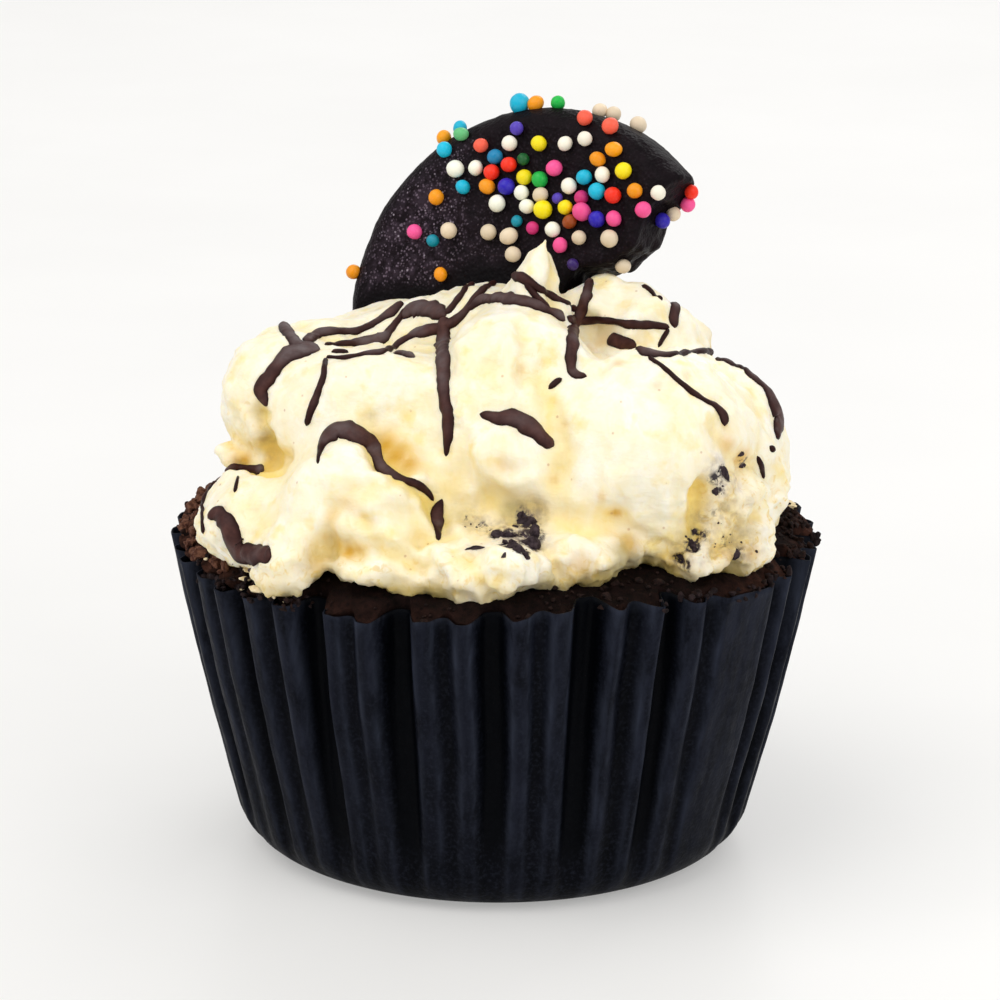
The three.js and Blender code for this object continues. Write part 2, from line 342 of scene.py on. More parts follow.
class Nodes:
    """A small helper for procedural materials, with lengths in millimetres."""

    def __init__(self, name):
        self.mat = bpy.data.materials.new(name)
        self.mat.use_nodes = True
        self.t = self.mat.node_tree
        self.bsdf = self.t.nodes["Principled BSDF"]
        coord = self.t.nodes.new("ShaderNodeTexCoord")
        grow = self.t.nodes.new("ShaderNodeVectorMath")
        grow.operation = "SCALE"
        grow.inputs["Scale"].default_value = 1000
        self.t.links.new(coord.outputs["Object"], grow.inputs[0])
        self.mm = grow.outputs[0]

    def stretch(self, x, y, z):
        m = self.t.nodes.new("ShaderNodeVectorMath")
        m.operation = "MULTIPLY"
        m.inputs[1].default_value = (x, y, z)
        self.t.links.new(self.mm, m.inputs[0])
        return m.outputs[0]

    def noise(self, size, detail=3, rough=0.55, distort=0.0, at=None):
        n = self.t.nodes.new("ShaderNodeTexNoise")
        n.inputs["Scale"].default_value = 1 / size
        n.inputs["Detail"].default_value = detail
        n.inputs["Roughness"].default_value = rough
        n.inputs["Distortion"].default_value = distort
        self.t.links.new(at or self.mm, n.inputs["Vector"])
        return n.outputs["Fac"]

    def cells(self, size, feature="F1", out="Distance", rand=1.0, at=None):
        n = self.t.nodes.new("ShaderNodeTexVoronoi")
        n.feature = feature
        n.inputs["Scale"].default_value = 1 / size
        n.inputs["Randomness"].default_value = rand
        self.t.links.new(at or self.mm, n.inputs["Vector"])
        return n.outputs[out]

    def value(self, name):
        n = self.t.nodes.new("ShaderNodeAttribute")
        n.attribute_name = name
        return n.outputs["Fac"]

    def colour(self, name):
        n = self.t.nodes.new("ShaderNodeAttribute")
        n.attribute_name = name
        return n.outputs["Color"]

    def fit(self, x, a, b, lo=0.0, hi=1.0):
        n = self.t.nodes.new("ShaderNodeMapRange")
        n.clamp = True
        self.t.links.new(x, n.inputs["Value"])
        for key, val in (("From Min", a), ("From Max", b), ("To Min", lo), ("To Max", hi)):
            n.inputs[key].default_value = val
        return n.outputs["Result"]

    def math(self, op, a, b=None):
        n = self.t.nodes.new("ShaderNodeMath")
        n.operation = op
        for i, x in enumerate((a, b)):
            if x is None:
                continue
            if isinstance(x, (int, float)):
                n.inputs[i].default_value = x
            else:
                self.t.links.new(x, n.inputs[i])
        return n.outputs[0]

    def mix(self, fac, a, b, kind="MIX"):
        n = self.t.nodes.new("ShaderNodeMix")
        n.data_type = "RGBA"
        n.blend_type = kind
        for key, x in ((0, fac), (6, a), (7, b)):
            if isinstance(x, (int, float)):
                n.inputs[key].default_value = x
            elif isinstance(x, (tuple, list, np.ndarray)):
                n.inputs[key].default_value = (*[float(v) for v in x], 1)
            else:
                self.t.links.new(x, n.inputs[key])
        return n.outputs[2]

    def bump(self, height, strength, distance, under=None):
        n = self.t.nodes.new("ShaderNodeBump")
        n.inputs["Strength"].default_value = strength
        n.inputs["Distance"].default_value = distance * MM
        self.t.links.new(height, n.inputs["Height"])
        if under is not None:
            self.t.links.new(under, n.inputs["Normal"])
        return n.outputs["Normal"]

    def set(self, **sockets):
        names = {"base": "Base Color", "rough": "Roughness", "spec": "Specular IOR Level", "normal": "Normal",
                 "ior": "IOR", "sss": "Subsurface Weight", "sss_scale": "Subsurface Scale",
                 "sss_radius": "Subsurface Radius", "sheen": "Sheen Weight", "sheen_rough": "Sheen Roughness",
                 "coat": "Coat Weight", "glow": "Emission Color", "glow_strength": "Emission Strength", "coat_rough": "Coat Roughness", "sheen_tint": "Sheen Tint"}
        for key, x in sockets.items():
            s = self.bsdf.inputs[names[key]]
            if isinstance(x, (int, float)):
                s.default_value = x
            elif isinstance(x, (tuple, list, np.ndarray)):
                s.default_value = tuple(float(v) for v in x) if len(x) == len(s.default_value) \
                    else (*[float(v) for v in x], 1)
            else:
                self.t.links.new(x, s)
        return self.mat


def material_frosting():
    m = Nodes("cream_frosting")
    cream, pale, butter, deep = (linear(c) for c in ((251, 237, 200), (255, 248, 232), (246, 216, 108), (210, 158, 8)))
    streak = m.noise(3.2, 4, 0.6, 0.6, m.stretch(1.0, 1.0, 0.45))
    base = m.mix(m.fit(streak, 0.35, 0.68), cream, pale)
    lumps = m.noise(2.4, 3, 0.5)
    base = m.mix(m.fit(lumps, 0.56, 0.74, 0, 0.55), base, butter)
    # painted shade: creases and dents are tinted butter yellow
    base = m.mix(m.fit(m.value("hollow"), 0.08, 0.85, 0, 0.85), base, butter)
    wisps = m.fit(m.noise(1.5, 3, 0.55, 1.4), 0.54, 0.68)
    base = m.mix(m.math("MULTIPLY", m.math("MULTIPLY", wisps, m.value("torn")), 0.75), base, linear((234, 198, 94)))
    # painted shade along the lower edges and undersides
    base = m.mix(m.fit(m.value("foot"), 0.0, 1.0, 0, 0.88), base, linear((198, 172, 94)))
    # painted shade beside gaps, greyish yellow
    base = m.mix(m.value("painted_gap_shade"), base, linear((160, 147, 88)))
    # butter flecks, and painted shade in pits
    base = m.mix(m.fit(m.value("butter_and_pit_shade"), 0.0, 1.0, 0, 1.0), base, deep)
    soot = m.math("MULTIPLY", m.value("smear"), m.fit(m.noise(0.8, 3), 0.38, 0.62, 0.35, 1))
    base = m.mix(soot, base, linear((124, 104, 100)))
    dark = m.math("MULTIPLY", m.value("biscuit"), m.fit(m.noise(0.6, 4, 0.65), 0.34, 0.56, 0.1, 1))
    base = m.mix(m.fit(dark, 0.18, 0.46), base, linear((50, 39, 46)))
    speck = m.fit(m.cells(2.6), 0.035, 0.075, 1, 0)
    base = m.mix(m.math("MULTIPLY", speck, 0.5), base, linear((190, 140, 90)))
    fine = m.noise(0.5, 3, 0.6)
    mid = m.noise(1.7, 2, 0.5)
    drag = m.noise(0.55, 3, 0.6, 0.8, m.stretch(0.35, 1.0, 1.0))
    n = m.bump(fine, 0.35, 0.12)
    n = m.bump(drag, 0.45, 0.18, n)
    n = m.bump(mid, 0.5, 0.32, n)
    rough = m.fit(m.noise(2.0, 2), 0.3, 0.7, 0.36, 0.52)
    return m.set(base=base, rough=rough, spec=0.42, normal=n, sss=0.30, sss_scale=0.0013,
                 sss_radius=(1.0, 0.78, 0.45))


def material_paper():
    m = Nodes("black_paper")
    streaks = m.noise(1.8, 4, 0.6, 0.5, m.stretch(1, 1, 0.2))
    base = m.mix(m.fit(streaks, 0.40, 0.72), linear((3, 4, 8)), linear((9, 10, 17)))
    # painted highlight on the ridges, with some wear
    ridge_highlight_and_wear = m.math("MULTIPLY", m.value("ridge"), m.fit(m.noise(2.2, 5, 0.68, 0.3, m.stretch(1, 1, 0.3)), 0.34, 0.62, 0.12, 1.0))
    base = m.mix(ridge_highlight_and_wear, base, linear((31, 34, 46)))
    # painted highlight along the folds and the cut rim
    painted_fold_highlight = m.math("MULTIPLY", m.value("fold"), m.fit(m.noise(1.7, 4, 0.6, 0.3, m.stretch(1, 1, 0.25)), 0.38, 0.66, 0.05, 1.0))
    base = m.mix(m.math("MULTIPLY", painted_fold_highlight, 0.6), base, linear((54, 59, 73)))
    base = m.mix(m.fit(m.noise(0.42, 4, 0.7), 0.48, 0.68, 0, 0.5), base, linear((34, 37, 47)))
    # painted shade in the deep valleys
    base = m.mix(m.fit(m.value("valley"), 0.32, 0.72, 0, 0.92), base, linear((2, 3, 6)))
    grain = m.cells(0.42, rand=0.8)
    fibre = m.noise(0.3, 3, 0.65, 0.3, m.stretch(1, 1, 0.5))
    n = m.bump(grain, 0.22, 0.10)
    n = m.bump(fibre, 0.3, 0.08, n)
    n = m.bump(m.noise(3.0, 3, 0.5, 0.2, m.stretch(1, 1, 0.4)), 0.35, 0.3, n)
    rough = m.fit(m.noise(1.6, 3), 0.3, 0.7, 0.42, 0.6)
    return m.set(base=base, rough=rough, spec=0.035, normal=n)


def material_cake():
    m = Nodes("chocolate_crumb")
    a, b, c = linear((10, 5, 4)), linear((26, 13, 11)), linear((4, 2, 2))
    base = m.mix(m.fit(m.noise(1.1, 4, 0.65), 0.35, 0.68), a, b)
    base = m.mix(m.math("MULTIPLY", m.value("crust"), m.fit(m.noise(1.4, 4, 0.65), 0.35, 0.62, 0.1, 0.9)), base, linear((84, 52, 41)))
    base = m.mix(m.fit(m.cells(0.9), 0.0, 0.35, 0.8, 0), base, c)
    n = m.bump(m.noise(0.45, 4, 0.7), 0.7, 0.25)
    n = m.bump(m.cells(1.0), 0.6, 0.3, n)
    return m.set(base=base, rough=0.92, spec=0.08, normal=n)


def material_disc():
    m = Nodes("dark_chocolate")
    base = m.mix(m.fit(m.noise(2.0, 4, 0.6), 0.35, 0.7), linear((11, 6, 9)), linear((23, 14, 19)))
    sugar = m.value("sugar")
    clumps = m.fit(m.noise(1.3, 4, 0.65), 0.42, 0.62, 0.1, 1.0)
    base = m.mix(m.math("MULTIPLY", m.math("MULTIPLY", clumps, sugar), 0.55), base, linear((66, 54, 66)))
    fine = m.math("MULTIPLY", m.fit(m.cells(0.36), 0.22, 0.44, 1, 0), m.fit(m.noise(0.7, 3, 0.6), 0.40, 0.56))
    base = m.mix(m.math("MULTIPLY", m.math("MULTIPLY", fine, sugar), 0.9), base, linear((112, 98, 112)))
    grains = m.math("MULTIPLY", m.fit(m.cells(0.62), 0.12, 0.24, 1, 0), m.fit(m.noise(1.1, 2), 0.50, 0.58))
    base = m.mix(m.math("MULTIPLY", grains, m.fit(sugar, 0.08, 0.6, 0.0, 0.85)), base, linear((160, 148, 160)))
    # painted shade: near black where the disc stands in the frosting
    base = m.mix(m.fit(m.value("low"), 0.0, 1.0, 0, 0.85), base, linear((4, 2, 4)))
    n = m.bump(m.cells(0.42), 0.55, 0.16)
    n = m.bump(m.noise(0.7, 4, 0.7), 0.5, 0.2, n)
    n = m.bump(m.noise(1.8, 4, 0.65), 0.45, 0.35, n)
    rough = m.fit(sugar, 0, 1, 0.44, 0.58)
    return m.set(base=base, rough=rough, spec=0.06, normal=n)


def material_drizzle():
    m = Nodes("chocolate_drizzle")
    base = m.mix(m.fit(m.noise(1.0, 3), 0.35, 0.7), linear((58, 31, 28)), linear((82, 50, 45)))
    # painted shade: the ribbon's sides are darker than its crown
    base = m.mix(m.fit(m.value("crown"), 0.35, 0.95, 1, 0), base, linear((38, 14, 13)))
    # painted sheen: a grey reflection painted on broad, upward-facing parts
    patchy = m.math("MULTIPLY", m.value("painted_sheen"), m.fit(m.noise(1.2, 3), 0.35, 0.6, 0.45, 1.0))
    base = m.mix(patchy, base, linear((96, 84, 84)))
    n = m.bump(m.noise(0.7, 3, 0.5), 0.35, 0.12)
    return m.set(base=base, rough=m.fit(m.noise(1.5, 2), 0.3, 0.7, 0.40, 0.52), spec=0.12, normal=n)


def material_crumbs(name, dark, light):
    m = Nodes(name)
    base = m.mix(m.fit(m.noise(0.5, 3), 0.35, 0.68), linear(dark), linear(light))
    n = m.bump(m.noise(0.25, 3, 0.7), 0.6, 0.12)
    return m.set(base=base, rough=0.85, spec=0.14, normal=n)


def material_sprinkles():
    m = Nodes("sugar_pearls")
    base = m.mix(m.fit(m.noise(0.35, 2), 0.35, 0.75, 0, 0.03), m.colour("tint"), (0.9, 0.9, 0.9))
    n = m.bump(m.noise(0.3, 3, 0.6), 0.25, 0.06)
    return m.set(base=base, rough=0.34, spec=0.24, normal=n)


def material_floor():
    m = Nodes("white_table")
    base = m.mix(m.fit(m.noise(60, 2), 0.3, 0.7), linear((190, 189, 187)), linear((194, 193, 191)))
    return m.set(base=base, rough=m.fit(m.noise(25, 2), 0.3, 0.7, 0.38, 0.46), spec=0.3,
                 glow=(1.0, 0.995, 0.982), glow_strength=0.34)


# ------------------------------------------------------------------ paper case

rng = np.random.RandomState(41)


def pleat_outline():
    """Fold lines round the case: angle in degrees from the front and share of the fold depth, in order.

    Each pleat has a ridge and a narrower valley floor with sloping sides between; deep and shallow valleys take
    turns, and one valley is pressed flat."""
    pitch = 360 / 42
    folds = []
    for k in range(-21, 21):
        if k == 6:
            continue
        a = k * pitch + rng.uniform(-0.55, 0.55)
        floor = rng.uniform(1.2, 2.1) if k % 2 == 0 else rng.uniform(0.3, 0.9)
        left, right = floor + rng.uniform(1.2, 2.2), floor + rng.uniform(1.2, 2.2)
        d = rng.uniform(0.88, 1.08) if k % 2 == 0 else rng.uniform(0.34, 0.66)
        folds += [(a - left, rng.uniform(-0.04, 0.10)), (a - floor, d * rng.uniform(0.88, 1)),
                  (a + floor, d * rng.uniform(0.88, 1)), (a + right, rng.uniform(-0.04, 0.10))]
    return np.array([f[0] for f in folds]), np.array([f[1] for f in folds])


FOLD_AT, FOLD_DEPTH = pleat_outline()
FOLD_MAX = 3.2


def pleat_share(deg):
    d = (np.asarray(deg) + 180) % 360 - 180
    at = np.concatenate([FOLD_AT - 360, FOLD_AT, FOLD_AT + 360])
    depth = np.tile(FOLD_DEPTH, 3)
    total = 0
    for off, w in ((-0.55, 0.15), (-0.28, 0.22), (0, 0.26), (0.28, 0.22), (0.55, 0.15)):
        total = total + w * np.interp(d + off, at, depth)
    return total


def wall_point(s):
    """Radius and height of the smooth wall at a length along it from the floor's centre."""
    slope = (CASE_RIM - CASE_FOOT) / CASE_HEIGHT
    a_end = math.pi / 2 - math.atan(slope)
    rc = CASE_FOOT - CASE_CORNER * math.tan(a_end / 2)
    s = np.asarray(s, float)
    flat, arc = rc, CASE_CORNER * a_end
    a = np.clip((s - flat) / CASE_CORNER, 0, a_end)
    r = np.minimum(s, flat) + CASE_CORNER * np.sin(a)
    z = CASE_CORNER - CASE_CORNER * np.cos(a)
    rest = np.maximum(s - flat - arc, 0)
    r = r + rest * math.cos(a_end)
    z = z + rest * math.sin(a_end)
    r = r + 0.35 * np.sin(np.clip((z - 5) / 29, 0, 1) * math.pi)
    return r, z


# The cut rim isn't level: angle from the front in degrees, height in mm
RIM_LEVEL = np.array([
    (-180, 34.3), (-150, 34.5), (-120, 34.0), (-90, 33.0), (-70, 32.8), (-51.5, 32.9), (-45, 33.3), (-37, 33.6),
    (-22, 33.5), (-13, 34.1), (-5, 34.2), (4, 34.6), (12, 35.3), (20, 35.1), (29, 34.8), (36, 34.7), (44, 34.2),
    (59, 33.7), (72, 34.1), (90, 33.5), (120, 33.8), (150, 34.6), (180, 34.3)])


def rim_level(deg):
    d = (np.asarray(deg) + 180) % 360 - 180
    return np.interp(d, RIM_LEVEL[:, 0], RIM_LEVEL[:, 1])


def fold_rise(z):
    return np.clip((z - 1.2) / (CASE_HEIGHT - 1.2), 0, 1) ** 0.7


def case_radius(deg, z):
    """Radius of the pleated wall at an angle and height, for placing the cake and crumbs against it."""
    slope = (CASE_RIM - CASE_FOOT) / CASE_HEIGHT
    return CASE_FOOT + slope * z + 0.35 * np.sin(np.clip((z - 5) / 29, 0, 1) * math.pi) \
        - FOLD_MAX * fold_rise(z) * pleat_share(deg)


def build_case():
    slope = (CASE_RIM - CASE_FOOT) / CASE_HEIGHT
    a_end = math.pi / 2 - math.atan(slope)
    rc = CASE_FOOT - CASE_CORNER * math.tan(a_end / 2)
    arc = CASE_CORNER * a_end
    wall = (CASE_HEIGHT - (CASE_CORNER - CASE_CORNER * math.cos(a_end))) / math.sin(a_end)
    s = np.concatenate([[4, 12, 18, rc - 0.6], rc + arc * np.linspace(0.0, 1, 12), rc + arc + wall * np.linspace(0.025, 1, 42)])
    # columns of points stand on every fold, with a few between
    deg = []
    for a, b in zip(FOLD_AT, np.append(FOLD_AT[1:], FOLD_AT[0] + 360)):
        n = 3 if b - a < 1.6 else max(4, int(round((b - a) / 0.6)))
        deg += list(a + (b - a) * np.arange(n) / n)
    deg = np.array(deg)
    columns = len(deg)
    S, A = np.meshgrid(s, deg, indexing="ij")
    r, z = wall_point(S)
    share = pleat_share(A)
    rise = fold_rise(z)
    th = np.radians(A)
    ring = np.stack([np.sin(th) * 9, -np.cos(th) * 9, z / 14], -1)
    th = th + np.radians(0.55 * noise(ring * np.array([0.5, 0.5, 0.9]) + 9, 300) * smoothstep(2, 16, z))
    ring = np.stack([np.sin(th) * 9, -np.cos(th) * 9, z / 14], -1)
    buckle = 0.22 * noise(ring * 0.45, 301) * smoothstep(6, 30, z) + 0.07 * noise(ring * 2.3, 302) * smoothstep(3, 12, z)
    buckle = buckle + 0.05 * noise(ring * np.array([6.0, 6.0, 5.0]), 305) * smoothstep(3, 12, z)
    r = r - FOLD_MAX * rise * share * (1 + 0.10 * noise(ring * np.array([0.8, 0.8, 1.2]) + 3, 304)) + buckle
    # valleys lean in less than ridges lean out, so they end a little higher
    top = smoothstep(26.0, 34.2, z)
    z = z + (rim_level(A) - CASE_HEIGHT) * np.clip((z - 12) / (CASE_HEIGHT - 12), 0, 1)
    z = z * (1 + 0.016 * share * rise)
    z = z + top * (0.22 * noise(ring * 0.6 + 5, 303) + 0.10 * noise(ring * 3.1, 306))
    z = np.maximum(z, 0.0)
    P = np.stack([np.sin(th) * r, -np.cos(th) * r, z], -1)
    # normals of the sheet, to give it a thickness
    du = np.roll(P, -1, 1) - np.roll(P, 1, 1)
    dv = np.gradient(P, axis=0)
    N = np.cross(du, dv)
    N /= np.linalg.norm(N, axis=2)[..., None] + 1e-12
    if (N[:, :, 0] * np.sin(th) - N[:, :, 1] * np.cos(th))[-5:].mean() < 0:
        N = -N
    inner = P - N * PAPER
    inner[:, :, 2] = np.maximum(inner[:, :, 2], PAPER)
    rows = len(s)
    idx = np.arange(rows * columns).reshape(rows, columns)
    nxt = np.roll(idx, -1, 1)
    outer_faces = np.stack([idx[:-1], nxt[:-1], nxt[1:], idx[1:]], -1).reshape(-1, 4)
    inner_faces = outer_faces[:, ::-1] + rows * columns
    rim = np.stack([idx[-1], nxt[-1], nxt[-1] + rows * columns, idx[-1] + rows * columns], -1)
    V = np.concatenate([P.reshape(-1, 3), inner.reshape(-1, 3), [[0, 0, 0], [0, 0, PAPER]]])
    faces = [tuple(f) for f in np.concatenate([outer_faces, inner_faces, rim])]
    c0, c1 = len(V) - 2, len(V) - 1
    for j in range(columns):
        faces.append((c0, nxt[0][j], idx[0][j]))
        faces.append((c1, idx[0][j] + rows * columns, nxt[0][j] + rows * columns))
    ob = mesh_object("case_paper", V, faces)
    # how close each point is to a fold of a ridge, or to the cut rim, where a highlight is painted
    near = np.zeros_like(share)
    for a, d in zip(FOLD_AT, FOLD_DEPTH):
        if d < 0.2:
            gap = np.abs((A - a + 180) % 360 - 180)
            near = np.maximum(near, np.exp(-(gap / 0.6) ** 2))
    near = np.maximum(near * (0.3 + 0.7 * rise), smoothstep(0.978, 0.998, S / s[-1]) * 0.8)
    add_values(ob, "fold", np.concatenate([near.ravel(), near.ravel() * 0.3, [0, 0]]))
    # painted shade in the valleys, more up the wall
    painted_valley_shade = np.clip(share, 0, 1) * smoothstep(0.5, 11, z)
    add_values(ob, "valley", np.concatenate([painted_valley_shade.ravel(), painted_valley_shade.ravel(), [0, 0]]))
    # painted highlight with some wear: ridges are painted lighter than the folds between them, more up the wall, some
    # more than others
    ridge_highlight_and_wear = np.clip(1 - 2.2 * share, 0, 1) * (0.35 + 0.4 * smoothstep(2, 14, z) + 0.25 * smoothstep(20, 33, z)) * \
        np.clip(0.72 + 0.5 * noise(np.stack([np.sin(th) * 3.1, -np.cos(th) * 3.1, z * 0 + 4.2], -1), 307), 0.3, 1)
    add_values(ob, "ridge", np.concatenate([ridge_highlight_and_wear.ravel(), ridge_highlight_and_wear.ravel() * 0.3, [0, 0]]))
    ob.data.materials.append(material_paper())
    return ob, tree_of(P.reshape(-1, 3), outer_faces)


case, case_tree = build_case()
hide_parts("paper_case")
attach(case, "root")


# ------------------------------------------------------------------ cake

def cake_top(X, Y):
    r = np.hypot(X, Y)
    P = np.stack([X, Y, 0 * X], -1)
    z = dome_height(r)
    z = z + 0.55 * noise(P / 7.0, 401) + 0.35 * noise(P / 2.6, 402) + 0.22 * noise(P / 1.1, 403)
    z = z - 0.5 * np.clip(noise(P / 1.7, 404) - 0.35, 0, 1)
    z = z - 0.9 * smoothstep(31.6, 34.0, r) + 0.30 * noise(P / 1.9 + 8, 405) * smoothstep(30.5, 33, r)
    return z


def build_cake():
    columns = 42 * 12
    deg = np.arange(columns) * 360 / columns - 180
    th = np.radians(deg)
    rings = []
    # side, from the floor up, well inside the paper
    for z in (0.5, 1.3, 3.0, 6.0, 12.0, 20.0, 27.0, 30.0, 31.8):
        plain = wall_radius_low(z) - FOLD_MAX * float(fold_rise(np.array(z))) * 1.18 - (0.9 if z < 5 else 0.5)
        r = np.full(columns, plain)
        if z > 31:
            r = 0.5 * r + 0.5 * (case_radius(deg, z) - 0.5)
        rings.append(np.stack([np.sin(th) * r, -np.cos(th) * r, np.full(columns, z)], -1))
    edge = case_radius(deg, 33.6) - 0.45
    for t in np.concatenate([np.linspace(1.0, 0.80, 26), np.linspace(0.78, 0.5, 14), np.linspace(0.45, 0.05, 7)]):
        # pleats fade out quickly away from the paper
        plain = 33.2
        r = edge * t if t > 0.985 else (edge * smoothstep(0.9, 1.0, t) + plain * (1 - smoothstep(0.9, 1.0, t))) * t
        x, y = np.sin(th) * r, -np.cos(th) * r
        rings.append(np.stack([x, y, cake_top(x, y)], -1))
    P = np.stack(rings)
    # crumbly sides near the rim
    rows = len(P)
    idx = np.arange(rows * columns).reshape(rows, columns)
    nxt = np.roll(idx, -1, 1)
    faces = [tuple(f) for f in np.stack([idx[:-1], nxt[:-1], nxt[1:], idx[1:]], -1).reshape(-1, 4)]
    V = np.concatenate([P.reshape(-1, 3), [[0, 0, 0.5], [0, 0, float(cake_top(np.zeros(1), np.zeros(1))[0])]]])
    for j in range(columns):
        faces.append((len(V) - 2, nxt[0][j], idx[0][j]))
        faces.append((len(V) - 1, idx[-1][j], nxt[-1][j]))
    ob = mesh_object("cake_crumb", V, faces)
    # the crust at the edge is baked paler
    r = np.hypot(V[:, 0], V[:, 1])
    turned = np.abs(np.degrees(np.arctan2(V[:, 0], -V[:, 1])))
    crust = smoothstep(31.0, 33.4, r) * smoothstep(30, 33, V[:, 2]) * (0.6 + 0.6 * noise(V / 5.0, 406))
    add_values(ob, "crust", crust * (0.22 + 0.78 * smoothstep(40, 66, turned)))
    ob.data.materials.append(material_cake())
    return ob


def wall_radius_low(z):
    slope = (CASE_RIM - CASE_FOOT) / CASE_HEIGHT
    a_end = math.pi / 2 - math.atan(slope)
    rc = CASE_FOOT - CASE_CORNER * math.tan(a_end / 2)
    return rc + math.sqrt(max(CASE_CORNER ** 2 - (CASE_CORNER - z) ** 2, 0)) if z < CASE_CORNER * (1 - math.cos(a_end)) \
        else CASE_FOOT + slope * z


cake = build_cake()
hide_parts("cake")
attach(cake, "root")


# ------------------------------------------------------------------ frosting

# Each lump: centre x, y, z, radii x, y, z, tilt in the front view, blend length
LUMPS = {
    "core_low": (0.5, 2.0, 38.0, 25.0, 25.0, 12.0, 0, 3.0),
    "core_middle": (0.0, 4.0, 44.0, 20.0, 20.0, 12.5, 0, 4.0),
    "core_top": (1.0, 4.0, 50.5, 13.0, 12.0, 8.5, 0, 4.0),
    "left_plateau": (-13.8, -10.0, 50.2, 10.0, 8.6, 6.4, 12, 4.0),
    "left_shoulder": (-22.2, -4.5, 49.0, 6.6, 8.5, 7.8, 22, 3.5),
    "left_crest": (-20.0, 0.0, 51.6, 6.2, 8.0, 4.8, 10, 3.0),
    "brow": (2.0, -10.5, 55.0, 7.2, 7.0, 6.0, 0, 4.0),
    "face": (0.5, -15.0, 49.2, 8.0, 6.8, 6.4, 0, 4.5),
    "right_bulge": (14.8, -13.6, 46.4, 12.4, 10.6, 11.0, -8, 4.0),
    "right_shoulder": (20.9, -4.6, 46.4, 9.8, 9.2, 7.9, -18, 4.0),
    "right_flank": (25.8, -2.6, 43.4, 4.6, 7.4, 5.4, -20, 3.0),
    "left_fold": (-24.3, -14.0, 39.4, 6.7, 8.0, 5.2, 0, 2.2),
    "left_lip": (-20.6, -22.8, 37.5, 4.8, 5.6, 4.4, 0, 2.4),
    "left_tip": (-27.0, -8.6, 44.1, 2.2, 2.2, 1.35, 0, 0.7),
    "left_spur": (-28.7, -8.7, 44.9, 1.3, 1.1, 0.65, 0, 0.5),
    "left_bulge": (-12.8, -18.6, 43.0, 9.0, 8.6, 7.2, 0, 2.6),
    "left_skirt": (-8.5, -23.0, 37.7, 10.0, 6.8, 4.2, 0, 3.0),
    "curl": (1.0, -19.6, 47.0, 5.0, 3.2, 2.8, -8, 3.0),
    "recess": (2.0, -17.6, 42.6, 8.5, 5.6, 5.0, 0, 3.0),
    "front_lip": (-0.4, -25.2, 37.5, 7.4, 6.3, 3.7, 0, 2.6),
    "front_skirt": (8.6, -21.4, 38.2, 7.4, 6.4, 4.2, 0, 2.4),
    "right_fold": (22.6, -13.0, 39.2, 6.4, 9.0, 5.0, 0, 2.4),
    "right_edge": (26.8, -5.0, 40.6, 4.4, 8.0, 5.4, 0, 2.4),
    "right_lip": (20.4, -19.4, 38.0, 4.4, 5.0, 3.4, 0, 2.0),
    "right_tail": (24.6, -16.8, 37.8, 3.8, 4.8, 3.4, 0, 2.0),
    "petal": (13.8, 1.2, 57.2, 7.4, 5.4, 3.0, -14, 2.0),
    "petal_foot": (16.0, 1.0, 53.4, 7.5, 6.5, 4.2, -10, 2.5),
    "ridge": (-8.5, 3.0, 54.0, 8.5, 7.0, 3.6, 14, 2.4),
    "crown": (-0.5, -1.0, 57.0, 7.0, 6.0, 3.6, 6, 2.4),
    "back_left": (-19.0, 12.0, 43.5, 8.6, 9.0, 8.0, 0, 2.6),
    "back_mid_left": (-9.0, 20.0, 42.0, 9.0, 8.0, 8.0, 0, 2.6),
    "back_mid_right": (6.0, 21.0, 43.5, 10.0, 8.0, 8.5, 0, 2.6),
    "back_right": (19.0, 14.5, 42.0, 8.6, 9.0, 8.0, 0, 2.6),
    "back_top": (-2.0, 14.0, 50.0, 9.0, 7.0, 7.0, 0, 2.6),
    "back_top_right": (11.5, 11.0, 49.5, 9.0, 7.5, 6.0, 0, 2.6),
    "back_top_left": (-13.0, 9.0, 50.0, 8.0, 7.0, 5.5, 0, 2.6),
    "side_left": (-24.5, 6.0, 36.8, 5.0, 7.5, 4.0, 0, 2.2),
    "skirt_left": (-13.5, 24.0, 38.5, 8.0, 6.0, 4.5, 0, 2.2),
    "skirt_back": (4.0, 27.0, 38.5, 8.0, 5.5, 4.5, 0, 2.2),
    "skirt_right": (18.5, 22.5, 38.5, 7.0, 6.0, 4.5, 0, 2.2),
    "side_right": (25.5, 8.0, 39.0, 5.6, 8.0, 5.0, 0, 2.2),
}
PEAK = ((3.7, -5.5, 59.2), (5.2, -6.0, 67.2), 4.8, 0.65)
# Gaps under the mound's lower edge, as ellipsoids
BITES = [
    (-16.8, -27.0, 34.8, 2.6, 5.6, 2.35, 0), (-13.0, -27.5, 34.6, 3.2, 5.8, 2.0, 0), (15.3, -27.0, 35.4, 3.6, 5.2, 2.8, 0), (23.4, -23.4, 35.2, 1.7, 3.4, 1.9, 0),
    (3.6, -31.5, 34.6, 1.6, 3.0, 1.9, 0),
    (-30.0, 9.0, 35.0, 4.0, 3.0, 2.6, 0), (12.0, 33.0, 35.0, 3.0, 5.0, 3.4, 0), (-8.0, 33.5, 34.6, 2.2, 5.0, 3.2, 0),
    (31.5, 4.0, 35.0, 5.0, 2.4, 2.6, 0), (28.0, 17.0, 35.0, 4.0, 3.0, 2.4, 0), (-24.0, 22.0, 35.2, 4.5, 3.4, 3.0, 0),
]


